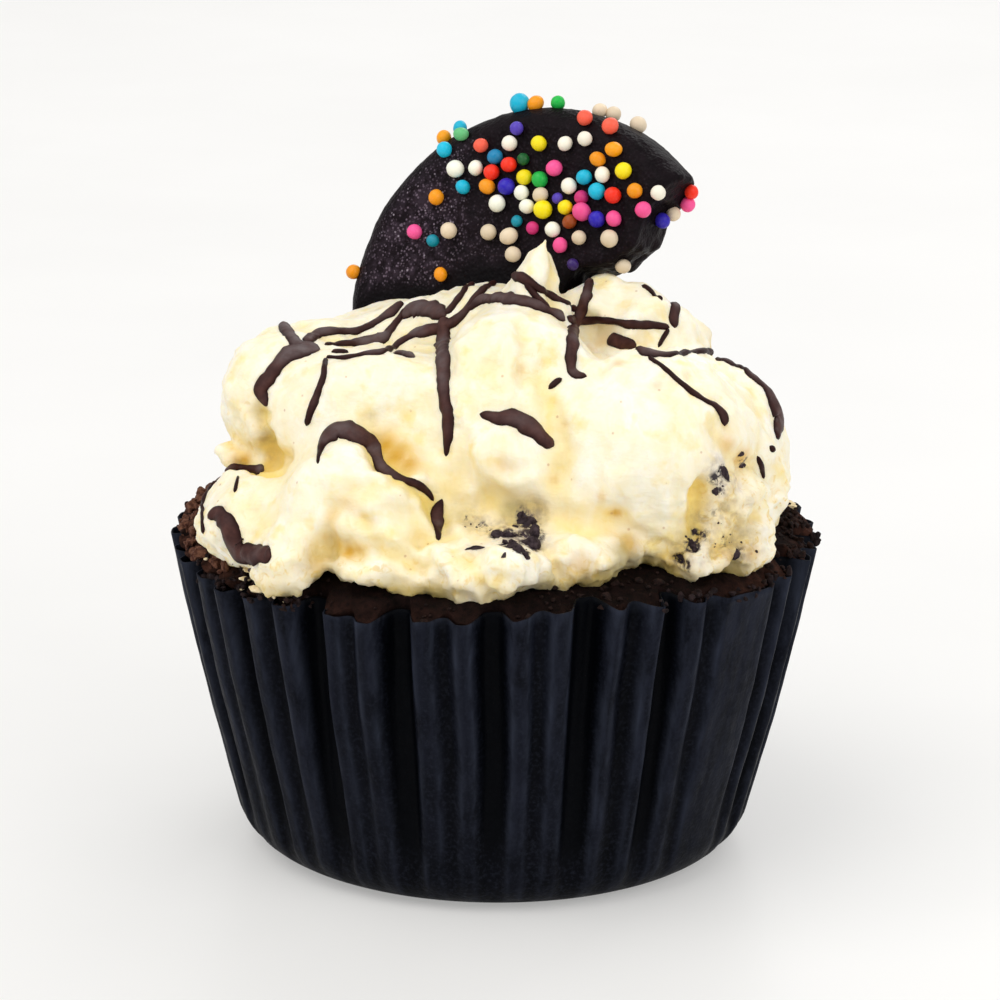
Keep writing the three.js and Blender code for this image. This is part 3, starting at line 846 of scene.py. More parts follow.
def frosting_distance(X, Y, Z):
    P = np.stack([X, Y, Z], -1)
    x = X + 0.8 * noise(P / 9.0, 1)
    y = Y + 0.8 * noise(P / 9.0 + 11, 2)
    z = Z + 0.7 * noise(P / 9.0 + 23, 3)
    D = None
    for lump in LUMPS.values():
        d = ellipsoid(x, y, z, lump)
        D = d if D is None else soft_min(D, d, lump[7])
    D = soft_min(D, cone(x, y, z, *PEAK), 1.5)
    D = D - 0.30 * noise(P / 4.2, 5) - 0.15 * noise(P / 2.1, 6)
    for bite in BITES:
        D = soft_max(D, -ellipsoid(x, y, z, bite), 1.2)
    # the edge by the cake is torn rather than smooth
    low = smoothstep(41.5, 37.5, Z) * (1 - 0.6 * smoothstep(-12, -18, X) * smoothstep(-12, -18, Y))
    D = D + low * (0.45 * np.clip(ridged(P / 2.8 + 17, 7), 0, 1) - 0.18 + 0.12 * noise(P / 1.25, 8))
    r = np.hypot(X, Y)
    rim = rim_level(np.degrees(np.arctan2(X, -Y)))
    floor = np.where(r < 35.0, np.maximum(dome_height(r) - 0.7, np.where(r > 32.4, rim + 0.1, 0)), rim - 1.6)
    return soft_max(D, floor - Z, 0.5)


def fill_grid(distance, lo, hi, h):
    xs, ys, zs = (np.arange(a, b, h, dtype=np.float32) for a, b in zip(lo, hi))
    D = np.empty((len(xs), len(ys), len(zs)), np.float32)
    for i in range(0, len(xs), 12):
        X, Y, Z = np.meshgrid(xs[i:i + 12], ys, zs, indexing="ij")
        D[i:i + 12] = distance(X, Y, Z)
    D[0] = D[-1] = 1
    D[:, 0] = D[:, -1] = 1
    D[:, :, 0] = D[:, :, -1] = 1
    return surface_of(D, (xs[0], ys[0], zs[0]), h)


def view_spot(tree, u, v):
    hit = tree.ray_cast(Vector(CAM_PLACE), Vector(sight(u, v)))
    return (np.array(hit[0]), np.array(hit[1])) if hit[0] is not None else None


# Folds and hollows of the front: points of a line in the view, radius and depth in mm (minus is a hollow)
RELIEF = [
    ([(447, 465), (452, 470), (457, 473)], 2.0, -1.9),
    ([(433, 501), (441, 503)], 1.4, -0.7),
    ([(434, 489), (441, 484), (446, 483)], 1.6, -0.55),
    ([(475, 466), (474, 476), (471, 483)], 1.4, -0.45),
    ([(484, 486), (491, 490), (497, 490)], 1.6, -0.8),
    ([(477, 490), (480, 496)], 1.8, -0.5),
    ([(431, 499), (429, 505), (427, 511)], 1.0, -0.55),
    ([(409, 457), (411.5, 466), (413.5, 474)], 1.1, -1.0),
    ([(403, 474.5), (409, 475.5), (414, 477)], 0.9, -0.9),
    ([(447, 470), (455, 478), (464, 485), (468, 491)], 1.3, -1.1),
    ([(480, 434), (483, 446), (482, 454)], 2.0, -0.45),
    ([(500, 447), (504, 457), (507, 470), (505, 481)], 1.6, -0.75),
    ([(517, 431), (520, 437)], 1.4, -0.8),
    ([(557, 464), (561, 470), (566, 474)], 1.2, -0.7),
    ([(553, 482), (550, 495), (544, 506)], 1.2, -1.2),
    ([(557, 501), (566, 498)], 1.5, -1.0),
    ([(461, 500), (470, 497)], 1.2, -0.5),
    ([(452, 488), (455, 491)], 0.9, -0.35),
    ([(515, 497), (524, 492)], 1.6, -0.45),
    ([(534, 447), (542, 455)], 2.2, -0.35),
    ([(480, 470), (484, 477), (490, 480.5), (498, 479)], 0.9, 0.6),
    ([(487, 468), (494, 472)], 1.6, 0.4),
    ([(444, 488), (452, 481), (461, 485)], 1.2, 0.45),
    ([(452, 499), (463, 494)], 1.3, 0.5),
    ([(474, 512), (484, 508), (497, 506)], 1.4, 0.7),
    ([(503, 503), (511, 500)], 1.2, 0.6),
    ([(512, 483), (526, 480)], 1.6, 0.35),
    ([(572, 470), (577, 478), (575, 487)], 1.4, 0.8),
    ([(558, 494), (566, 490)], 1.2, 0.7),
    ([(560, 484), (569, 483)], 1.1, 0.6),
    ([(425, 480), (428, 492)], 2.4, 0.5),
    ([(436, 447), (458, 447)], 3.0, 0.4),
    ([(404, 440), (401, 450)], 2.0, 0.5),
    ([(430, 484), (433, 494), (432, 503)], 0.8, -0.35),
    ([(443, 492), (450, 503), (462, 507)], 0.9, -0.6),
    ([(447, 496), (456, 502)], 1.1, 0.6),
    ([(436, 494), (444, 497)], 1.0, 0.7),
    ([(459, 489), (462, 500)], 0.9, -0.5),
    ([(464, 502), (473, 507)], 1.1, 0.6),
    ([(486, 504), (493, 510)], 1.0, 0.6),
    ([(476, 505), (481, 512)], 0.9, -0.6),
    ([(500, 489), (512, 494)], 1.1, -0.6),
    ([(506, 484), (516, 488), (522, 485)], 1.1, 0.45),
    ([(500, 500), (505, 509)], 0.9, -0.6),
    ([(512, 500), (520, 505)], 1.1, 0.5),
    ([(530, 492), (540, 496)], 1.4, 0.4),
    ([(553, 444), (562, 452), (568, 461)], 1.3, 0.45),
    ([(549, 446), (557, 455), (562, 463)], 1.0, -0.5),
    ([(562, 478), (570, 475)], 0.9, -0.6),
    ([(559, 489), (566, 494), (570, 490)], 0.9, -0.6),
    ([(412, 484), (420, 488)], 2.0, 0.4),
    ([(406, 487), (411, 494)], 1.3, -0.35),
    ([(474, 436), (478, 446), (474, 456)], 1.3, 0.4),
    ([(488, 430), (489, 444)], 1.1, 0.35),
    ([(494, 430), (494, 448)], 0.8, -0.4),
    ([(525, 418), (536, 424)], 1.5, 0.35),
]


def line_gap(P, line):
    """Distance of each point from a line through a few points."""
    best = np.full(len(P), 1e9)
    if len(line) == 1:
        return np.linalg.norm(P - line[0], axis=1)
    for a, b in zip(line[:-1], line[1:]):
        ab = b - a
        t = np.clip((P - a) @ ab / (ab @ ab + 1e-9), 0, 1)
        best = np.minimum(best, np.linalg.norm(P - a - t[:, None] * ab, axis=1))
    return best


def press(V, N, Q):
    """Displacement of each point by the folds and hollows, and the painted shade that each hollow gives it."""
    tree = tree_of(V, Q)
    move = np.zeros(len(V))
    shade = np.zeros(len(V))

    def apply(line, radius, depth):
        near = np.where((np.abs(V - np.mean(line, 0)).max(1)) < np.ptp(line, axis=0).max() + 3 * radius)[0]
        if not len(near):
            return
        wobble = 0.35 * noise(V[near] / 1.7, 61)
        g = np.exp(-((line_gap(V[near], line) / radius) * (1 + wobble)) ** 2)
        move[near] += depth * g
        # a hollow is also given painted shade
        if depth < 0:
            shade[near] = np.maximum(shade[near], g * min(0.9, -depth / 1.9))

    for points, radius, depth in RELIEF:
        line = [spot[0] for spot in (view_spot(tree, u, v) for u, v in points) if spot is not None]
        if line:
            apply(np.array(line), radius, depth * (1.35 if radius < 1.5 else 1.2))
    # swipes of the spatula over the sides and the back, found by walking over the surface
    r = np.random.RandomState(63)
    made = 0
    while made < 74:
        i = r.randint(len(V))
        if V[i][2] < 37.5 or (V[i][1] < -9 and N[i][1] < 0.1):
            continue
        if V[i][2] < 41 and r.uniform() < 0.5:
            continue
        p, d = V[i].copy(), r.normal(size=3)
        line = [p]
        for _ in range(r.randint(2, 6)):
            near = tree.find_nearest(Vector(p))
            n = np.array(near[1])
            d = d + 0.35 * r.normal(size=3)
            d -= n * (d @ n)
            d /= np.linalg.norm(d) + 1e-9
            p = np.array(tree.find_nearest(Vector(p + d * 2.0))[0])
            line.append(p)
        # the curl at the left stays thin
        if min(np.linalg.norm(q - np.array([-28.0, -8.6, 44.0])) for q in line) < 6.5:
            continue
        radius = r.uniform(0.8, 2.0)
        apply(np.array(line), radius, r.choice([-1, -1, 1]) * radius * r.uniform(0.35, 0.8))
        made += 1
    return move, shade


def build_frosting():
    h = 0.40
    V, Q = fill_grid(frosting_distance, (-37, -37, 32), (37, 37, 72), h)
    V, Q = biggest_piece(V, Q)
    V = settle(relax(V, Q, 2, 0.5), Q, frosting_distance, 1)
    N = normals_of(V, Q)
    # creases: how much frosting stands in front of a point, which sets painted shade in them
    probe = V + N * 2.4
    hollow = np.clip(1 - frosting_distance(*probe.T) / 2.4, 0, 1)
    move, shade = press(V, N, Q)
    V = V + N * move[:, None]
    V = relax(V, Q, 1, 0.4)
    N = normals_of(V, Q)
    x, y, z = V.T
    torn = smoothstep(42.5, 37.5, z) * 0.8 + 0.8 * smoothstep(16, 22, x) * smoothstep(-4, -10, y) * smoothstep(49, 43, z)
    torn = torn + 0.45 * smoothstep(0.15, 0.6, noise(V / 11.0, 31)) + 0.4 * smoothstep(8, 18, y)
    torn = np.clip(torn, 0.08, 1)
    upright = noise(V * np.array([0.62, 0.5, 0.15]), 32) + 0.5 * noise(V * np.array([1.5, 1.0, 0.3]), 42)
    level = noise(V * np.array([0.14, 0.4, 0.6]), 43) + 0.6 * noise(V * np.array([0.3, 0.8, 1.5]), 44)
    side = smoothstep(-6, -10, x) * smoothstep(43, 45, z)
    d = 0.17 * (upright * (1 - side) + level * side) + 0.13 * layers(V / 2.2, 33, 3)
    d = d + torn * (0.52 * ridged(V / 2.9, 36) + 0.26 * noise(V / 1.1, 38) - 0.26)
    d = d - 0.35 * torn * np.clip(noise(V / 1.6, 40) - 0.45, 0, 1) * 3
    V = V + N * d[:, None]
    ob = mesh_object("frosting_mound", V, Q)
    # painted shade in creases and dents, kept light on the petal
    hollow = np.clip(hollow * (0.6 + 0.3 * torn) + shade, 0, 1)
    hollow = hollow * (1 - 0.7 * smoothstep(6, 9, x) * smoothstep(53, 55, z))
    add_values(ob, "hollow", hollow)
    add_values(ob, "torn", torn)
    # painted shade: thin edges and undersides by the cake are painted deeper yellow and darker, most where they face
    # down
    r = np.hypot(x, y)
    level = np.where(r < 32.6, dome_height(r), rim_level(np.degrees(np.arctan2(x, -y))))
    foot = smoothstep(3.4, 0.3, z - level) * np.clip(0.75 + 0.7 * noise(V / 3.4, 45), 0.25, 1)
    add_values(ob, "foot", np.clip(foot * (1.15 - 0.5 * np.clip(N[:, 2], 0, 1)), 0, 1))
    return ob, V, Q, hollow


frosting, FV, FQ, HOLLOW = build_frosting()
frosting_tree = tree_of(FV, FQ)
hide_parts("frosting")
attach(frosting, "root")


# ------------------------------------------------------------------ half disc

DISC_N = np.array([math.sin(DISC_TURN) * math.cos(DISC_LEAN), -math.cos(DISC_TURN) * math.cos(DISC_LEAN), math.sin(DISC_LEAN)])
DISC_H = np.array([math.cos(DISC_TURN), math.sin(DISC_TURN), 0])
DISC_W = np.cross(DISC_N, DISC_H)


def disc_distance(X, Y, Z):
    """In the disc's own frame: X, Y across the face, Z out of it."""
    P = np.stack([X, Y, Z], -1)
    r = np.hypot(X, Y)
    qx = np.abs(r - (DISC_RADIUS - DISC_EDGE) / 2 - (DISC_RADIUS - DISC_EDGE) / 2) * np.sign(r - (DISC_RADIUS - DISC_EDGE))
    qz = np.abs(Z) - (DISC_HALF - DISC_EDGE)
    D = np.sqrt(np.maximum(qx, 0) ** 2 + np.maximum(qz, 0) ** 2) + np.minimum(np.maximum(qx, qz), 0) - DISC_EDGE
    # the broken edge
    c, s = math.cos(DISC_CUT), math.sin(DISC_CUT)
    along, across = X * c + Y * s, -X * s + Y * c
    wave = 0.5 * np.sin(along * 0.55) + 0.25 * np.sin(along * 1.3 + 1) + 0.5 * noise(P / 3.0, 502) + 0.25 * noise(P / 1.2, 503)
    wave = wave + 2.3 * np.exp(-((along - 11.8) / 4.2) ** 2)
    D = soft_max(D, -(across + wave), 0.9)
    return D - 0.16 * noise(P / 5.0, 504) - 0.06 * noise(P / 1.5, 505)


def build_disc():
    h = 0.32
    R = DISC_RADIUS + 1
    V, Q = fill_grid(disc_distance, (-R, -R, -DISC_HALF - 1), (R, R, DISC_HALF + 1), h)
    V, Q = biggest_piece(V, Q)
    V = settle(relax(V, Q, 2, 0.5), Q, disc_distance, 3)
    N = normals_of(V, Q)
    face = np.clip(N[:, 2], -1, 1)
    V = V + N * (0.05 * noise(V / 0.8, 506))[:, None]
    sugar = smoothstep(0.5, 0.9, np.abs(face)) * smoothstep(22, 18.5, np.hypot(V[:, 0], V[:, 1]))
    u = V[:, 0] * 0.8 + V[:, 1] * 0.6
    # the rim carries some sugar too, which also paints a lighter band along the edge as a highlight
    sugar = np.maximum(sugar, 0.35 * smoothstep(0.75, 0.95, 1 - np.abs(face)))
    sugar = sugar * (0.08 + 0.30 * smoothstep(3, -8, u + 4 * noise(V / 6, 507)) + 0.62 * smoothstep(-8, -15, V[:, 0] + 3 * noise(V / 5, 509)))
    W = DISC_CENTRE + V[:, :1] * DISC_H + V[:, 1:2] * DISC_W + V[:, 2:3] * DISC_N
    ob = mesh_object("half_disc_chocolate", W, Q)
    # painted shade: darkest where it stands in the frosting, with its sugar fading out there
    gap = np.array([frosting_tree.find_nearest(Vector(p))[3] if p[2] < 62 else 20.0 for p in W])
    add_values(ob, "sugar", sugar * smoothstep(0.6, 3.2, gap + 0.8 * noise(W / 2.0, 508)))
    add_values(ob, "low", smoothstep(3.4, 0.6, gap))
    ob.data.materials.append(material_disc())
    return ob, W, Q


disc, DV, DQ = build_disc()
disc_tree = tree_of(DV, DQ)
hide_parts("chocolate_half_disc")
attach(disc, "root")


# ------------------------------------------------------------------ small round things and crumbs

def ball(level=2):
    """A unit icosphere's vertices and triangles."""
    t = (1 + 5 ** 0.5) / 2
    v = [(-1, t, 0), (1, t, 0), (-1, -t, 0), (1, -t, 0), (0, -1, t), (0, 1, t), (0, -1, -t), (0, 1, -t),
         (t, 0, -1), (t, 0, 1), (-t, 0, -1), (-t, 0, 1)]
    f = [(0, 11, 5), (0, 5, 1), (0, 1, 7), (0, 7, 10), (0, 10, 11), (1, 5, 9), (5, 11, 4), (11, 10, 2), (10, 7, 6),
         (7, 1, 8), (3, 9, 4), (3, 4, 2), (3, 2, 6), (3, 6, 8), (3, 8, 9), (4, 9, 5), (2, 4, 11), (6, 2, 10),
         (8, 6, 7), (9, 8, 1)]
    v = [np.array(p, float) / np.linalg.norm(p) for p in v]
    for _ in range(level):
        seen, g = {}, []

        def middle(a, b):
            key = (min(a, b), max(a, b))
            if key not in seen:
                m = v[a] + v[b]
                v.append(m / np.linalg.norm(m))
                seen[key] = len(v) - 1
            return seen[key]

        for a, b, c in f:
            ab, bc, ca = middle(a, b), middle(b, c), middle(c, a)
            g += [(a, ab, ca), (b, bc, ab), (c, ca, bc), (ab, bc, ca)]
        f = g
    return np.array(v), np.array(f)


def meet(tree, u, v):
    """Where the line of sight through a view point meets a surface, else the surface's nearest point to it."""
    d = sight(u, v)
    hit = tree.ray_cast(Vector(CAM_PLACE), Vector(d))
    if hit[0] is not None:
        n = np.array(hit[1])
        return np.array(hit[0]), n if n @ d < 0 else -n
    best = None
    for t in np.linspace(540, 640, 201):
        near = tree.find_nearest(Vector(CAM_PLACE + d * t))
        if near[0] is not None and (best is None or near[3] < best[3]):
            best = near
    return np.array(best[0]), np.array(best[1])


def beside(tree, u, v, reach):
    """Where a line of sight meets a surface, or the nearest point of it if that is within reach of the line."""
    spot = view_spot(tree, u, v)
    if spot is not None:
        return spot
    p, n = meet(tree, u, v)
    d = sight(u, v)
    gap = p - CAM_PLACE
    return (p, n) if np.linalg.norm(gap - d * (gap @ d)) < reach else None


def seen(p, n, lift=0.9):
    """Whether something a little way out from a point of the frosting shows from the front."""
    q = p + n * lift - CAM_PLACE
    far = np.linalg.norm(q)
    for tree in (frosting_tree, disc_tree):
        hit = tree.ray_cast(Vector(CAM_PLACE), Vector(q / far))
        if hit[0] is not None and hit[3] < far - 0.3:
            return False
    return True


SHADES = {
    "white": (252, 246, 228), "cream": (228, 209, 180), "orange": (250, 156, 6), "brown_orange": (152, 66, 4),
    "red": (248, 46, 18), "coral": (252, 98, 72), "pink": (250, 84, 152), "magenta": (204, 44, 116),
    "yellow": (250, 228, 0), "green": (18, 184, 68), "dark_green": (16, 92, 40), "light_green": (100, 190, 122),
    "cyan": (10, 186, 220), "blue": (14, 128, 176), "navy": (42, 28, 176), "violet": (84, 62, 182),
    "teal": (0, 138, 160), "purple": (54, 28, 104),
}

# Sprinkles on the disc's face as seen from the front: view x, y and shade; a fourth value scales one
PEARLS = [
    (493.5, 358.9, "cyan", 1.25), (498.5, 359.3, "orange"), (505.5, 358.9, "green"), (519.4, 359.3, "cream"),
    (524, 360.3, "cream"), (531.4, 365.4, "cream"), (474, 365.8, "cyan"), (475.4, 368.9, "light_green"),
    (468.9, 369.2, "orange"), (470, 373.6, "cyan"), (493, 366.5, "violet"), (481.6, 371.8, "coral"),
    (490.7, 371.4, "white"), (500.4, 371.4, "yellow"), (508.7, 371.4, "white"), (514.9, 369.8, "white"),
    (514.7, 364, "coral"), (522.6, 366.7, "coral"), (524.2, 373.5, "orange"), (519.1, 376.5, "orange"),
    (527.5, 380, "yellow"), (486.2, 375.6, "blue"), (495.1, 376.5, "dark_green"), (490.5, 378.3, "red"),
    (485.2, 380.6, "red"), (473.4, 379.7, "white", 1.2), (480.0, 379.2, "white"), (475.9, 385.5, "cyan"),
    (483.7, 385.2, "orange"), (489.8, 385.4, "navy"), (495.5, 382.2, "yellow"), (500.6, 382.9, "green"),
    (505.3, 379.5, "pink"), (514.9, 382.2, "cyan"), (520.7, 381.5, "white"), (509.9, 385, "white"),
    (518.9, 386.6, "cyan"), (524.2, 388, "red"), (531.1, 386.6, "orange"), (537.9, 386.6, "white"),
    (467.1, 388.8, "orange"), (486.8, 390.5, "white"), (494.6, 387.4, "white"), (496.2, 391.6, "white"),
    (500.6, 388, "cream"), (506.0, 388.9, "violet"), (513.9, 388.6, "magenta"), (501.6, 392.8, "yellow", 1.2),
    (508.7, 392, "yellow"), (514.3, 393.6, "pink", 1.2), (510.2, 396.6, "brown_orange"), (518.9, 395.9, "navy"),
    (524.4, 395.6, "pink"), (533.2, 391.9, "pink"), (537.9, 395.9, "navy"), (542.4, 392.6, "cream"),
    (547.6, 385.9, "red"), (546.2, 390.3, "pink"), (493.0, 396.3, "teal"), (498.1, 398.5, "magenta"),
    (504.6, 399.1, "white"), (513.1, 401.8, "cream"), (522.9, 402.2, "cream"), (507.2, 404.1, "pink"),
    (484, 399.9, "cream"), (490.6, 401.2, "cream"), (471.3, 399.6, "cream"), (466, 402.6, "teal"),
    (460.2, 399.8, "pink"), (491.8, 407.2, "cream"), (511, 409.8, "purple"), (526, 409.8, "cream"),
    (468.5, 413.5, "orange"), (439.8, 412.5, "orange"),
]


def build_sprinkles():
    r = np.random.RandomState(77)
    bv, bf = ball(2)
    V, F, C, placed = [], [], [], []

    def add(p, n, radius, shade):
        c = p + n * radius * 0.62
        turn = r.normal(size=(3, 3))
        turn, _ = np.linalg.qr(turn)
        size = radius * (1 + 0.05 * r.normal(size=3))
        v = (bv * size) @ turn.T
        v = v * (1 + 0.035 * noise(bv * 1.6 + r.uniform(0, 50, 3), 601))[:, None]
        F.append(bf + sum(len(x) for x in V))
        V.append(v + c)
        col = np.minimum(linear(SHADES[shade]) * r.uniform(0.88, 1.08), 0.95)
        C.append(np.tile(col, (len(bv), 1)))
        placed.append(c)

    for item in PEARLS:
        u, v, shade = item[:3]
        p, n = meet(disc_tree, u, v)
        dark = shade in ("dark_green", "teal", "purple", "magenta", "violet", "brown_orange")
        add(p, n, r.uniform(0.62, 0.76) if dark else r.uniform(0.78, 0.9) * (item[3] if len(item) > 3 else 1), shade)
    # the hidden face and the rest of the rim are sprinkled the same way
    names = list(SHADES)
    weight = np.array([3.2 if n in ("white", "cream") else 1.6 if n in ("orange", "cyan", "pink", "red") else 1
                       for n in names])
    tries = 0
    wanted = len(placed) + 62
    while len(placed) < wanted and tries < 4000:
        tries += 1
        a = r.uniform(0, TAU)
        rad = DISC_RADIUS * math.sqrt(r.uniform(0, 1.08))
        x, y = rad * math.cos(a), rad * math.sin(a)
        c, s = math.cos(DISC_CUT), math.sin(DISC_CUT)
        if -x * s + y * c < 1.5 or r.uniform() > 0.35 + 0.65 * smoothstep(-6, 10, x * 0.6 + y * 0.8):
            continue
        out = DISC_CENTRE + x * DISC_H + y * DISC_W - DISC_N * 9
        near = disc_tree.find_nearest(Vector(out))
        p, n = np.array(near[0]), np.array(near[1])
        if n @ DISC_N > -0.1:
            continue
        where = frosting_tree.find_nearest(Vector(p))
        if (np.array(where[0]) - p) @ np.array(where[1]) > -1.0:
            continue
        if min(np.linalg.norm(p + n * 0.6 - q) for q in placed) < 2.25:
            continue
        add(p, n, r.uniform(0.72, 0.92), r.choice(names, p=weight / weight.sum()))
    ob = mesh_object("sprinkles", np.concatenate(V), np.concatenate(F))
    add_colours(ob, "tint", np.concatenate(C))
    ob.data.materials.append(material_sprinkles())
    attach(ob, "root")


build_sprinkles()


# ------------------------------------------------------------------ drizzle

def through(points, step):
    """A smooth line through points, resampled at about one step."""
    P = np.array(points, float)
    if len(P) > 2:
        Q = np.vstack([2 * P[0] - P[1], P, 2 * P[-1] - P[-2]])
        out = []
        for i in range(1, len(Q) - 2):
            for t in np.linspace(0, 1, 24, endpoint=False):
                a, b, c, d = Q[i - 1], Q[i], Q[i + 1], Q[i + 2]
                out.append(0.5 * ((2 * b) + (c - a) * t + (2 * a - 5 * b + 4 * c - d) * t ** 2
                                  + (3 * b - a - 3 * c + d) * t ** 3))
        out.append(P[-1])
        P = np.array(out)
    length = np.concatenate([[0], np.cumsum(np.linalg.norm(np.diff(P[:, :2], axis=0), axis=1))])
    n = max(int(length[-1] / step), 3)
    at = np.linspace(0, length[-1], n + 1)
    return np.stack([np.interp(at, length, P[:, k]) for k in range(P.shape[1])], 1)


# Strokes seen from the front: view x, y, width, all in view pixels (about 0.34 mm each)
STROKES = [
    [(416.3, 427.0, 3.6), (418.0, 431.0, 4.6), (421.0, 435.4, 4.8), (423.0, 437.8, 4.4)],
    [(429.0, 437.6, 4.6), (422.0, 438.2, 6.0), (416.0, 442.2, 5.4), (411.6, 447.6, 5.0), (410.2, 450.8, 4.6), (412.2, 455.4, 2.4)],
    [(424.5, 435.2, 4.0), (428.0, 432.6, 3.4), (432.5, 431.6, 2.6), (441.0, 431.4, 2.2), (448.8, 427.7, 2.6), (455.6, 422.2, 2.2)],
    [(430.6, 436.1, 1.8), (437.0, 435.6, 2.2), (444.0, 435.2, 3.6), (449.5, 433.6, 3.6), (452.6, 430.2, 2.6), (457.0, 424.2, 2.2)],
    [(431.0, 440.0, 1.2), (437.0, 440.2, 1.4), (443.0, 439.2, 1.6), (450.0, 438.0, 2.4), (454.6, 435.4, 2.4), (459.6, 432.6, 2.8),
     (465.0, 431.2, 4.0), (469.0, 430.0, 4.0), (472.6, 428.2, 3.4), (475.6, 425.4, 2.6), (479.0, 420.8, 2.6), (483.6, 416.8, 2.4),
     (488.0, 415.1, 2.0)],
    [(455.8, 427.8, 2.0), (458.8, 424.6, 5.5), (462.6, 424.2, 7.2), (466.4, 425.2, 6.0), (469.6, 426.8, 4)],
    [(452.6, 438.6, 1.8), (455.6, 439.1, 3.2), (459.6, 440.0, 3.8)],
    [(432.6, 438.3, 1.2), (435.6, 438.1, 1.8), (438.2, 438.5, 1.2)],
    [(430.8, 440.6, 1.8), (429.8, 447.6, 2.2), (426.8, 455.0, 2.4), (424.6, 462.2, 2.2)],
    [(468.7, 427.0, 4.4), (468.7, 436.0, 4.8), (468.6, 446.0, 4.8), (468.9, 452.4, 4.4), (470.0, 458.6, 4.0), (470.2, 465.0, 2.8),
     (469.6, 472.0, 1.4)],
    [(428.3, 474.4, 1.2), (429.2, 469.6, 2.2), (431.6, 465.6, 4.2), (435.4, 463.4, 6.0), (440.2, 464.8, 7.0), (444.2, 467.2, 6.0),
     (446.6, 471.2, 4.2), (449.4, 475.8, 3.8), (454.0, 479.0, 3.2), (460.0, 480.8, 2.8), (463.8, 483.6, 2.0), (465.6, 486.4, 1.0)],
    [(468.4, 485.6, 1.0), (467.0, 489.0, 3.6), (466.2, 491.6, 4.8), (466.8, 495.0, 3.2), (467.2, 499.0, 1.2)],
    [(396.0, 476.6, 2.0), (400.6, 475.8, 2.4), (406.0, 475.9, 2.4), (411.0, 476.6, 3.4)],
    [(393.6, 478.2, 1.4), (391.8, 482.4, 1.6), (391.2, 489.6, 1.4), (391.4, 497.0, 1.2)],
    [(402.7, 478.4, 1.0), (401.5, 483.6, 1.4)],
    [(392.8, 491.8, 2.6), (396.4, 490.0, 5.4), (398.6, 494.0, 5.8), (401.0, 499.4, 5.8), (404.0, 503.2, 6.6), (409.6, 503.7, 6.8),
     (413.4, 503.7, 5.6)],
    [(417.6, 510.2, 3.6), (419.2, 510.2, 3.6)],
    [(469.6, 426.2, 2.4), (473.4, 421.4, 2.6), (477.0, 417.0, 2.6), (482.0, 413.8, 2.6), (488.0, 412.9, 3.0), (494.6, 414.6, 3.2),
     (499.6, 418.0, 2.4), (505.0, 420.9, 2.0), (512.0, 424.6, 2.0)],
    [(476.6, 425.2, 2.0), (480.6, 421.6, 3.2), (485.6, 421.0, 4.6), (492.0, 421.6, 4.4), (497.6, 423.0, 3.4), (502.0, 424.9, 2.6),
     (508.0, 428.2, 3.0)],
    [(495.0, 415.8, 2.2), (498.6, 420.4, 2.2), (503.0, 424.8, 2.2)],
    [(516.0, 414.9, 3.2), (514.8, 420.7, 3.6), (512.6, 426.5, 4.2), (510.6, 432.3, 4.2), (510.0, 439.0, 3.8), (509.9, 444.4, 3.6),
     (512.0, 446.0, 2.8), (515.0, 446.2, 1.4)],
    [(507.0, 446.8, 1.6), (504.8, 448.2, 2.4), (502.6, 450.3, 1.8)],
    [(509.0, 428.4, 3.6), (517.0, 428.0, 2.6), (524.0, 428.6, 2.2), (530.0, 429.6, 3.2), (536.0, 429.6, 2.8), (541.6, 430.4, 2.2)],
    [(521.6, 434.2, 3.4), (525.0, 434.9, 4.6), (529.6, 436.2, 4.0), (534.0, 438.4, 2.6), (540.0, 439.3, 2.2), (548.0, 438.4, 2.2),
     (556.0, 438.2, 2.2), (561.0, 440.2, 1.8), (566.0, 444.4, 2.0), (570.8, 448.8, 2.6), (574.4, 453.0, 4.6), (576.0, 458.0, 6.0),
     (576.2, 462.6, 5.0), (576.0, 466.2, 2.0)],
    [(541.4, 430.9, 1.6), (539.4, 434.0, 1.6), (537.4, 438.0, 1.2)],
    [(534.7, 439.8, 1.4), (540.0, 443.6, 1.6), (546.0, 448.8, 1.8), (551.6, 453.2, 1.8), (556.2, 455.8, 2.4), (558.8, 459.0, 2.8),
     (559.3, 462.2, 1.8)],
    [(480.4, 458.2, 1.4), (484.4, 459.2, 4.2), (488.6, 459.8, 5.2), (493.6, 460.2, 5.6), (497.4, 463.2, 5.6), (501.4, 466.4, 5.0),
     (504.4, 468.6, 3.6)],
    [(532.6, 416.8, 1.4), (536.0, 419.2, 1.6), (539.2, 421.8, 1.2)],
    [(545.8, 417.4, 1.2), (543.6, 422.4, 3.4), (542.8, 427.0, 3.6), (543.2, 430.6, 2.4)],
    [(569.8, 471.8, 1.2), (571.2, 475.6, 1.8), (572.0, 479.2, 1.2)],
    [(573.8, 468.6, 2.2), (575.4, 470.4, 2.2)],
    [(537.0, 446.4, 2.2), (538.2, 446.4, 2.2)],
]


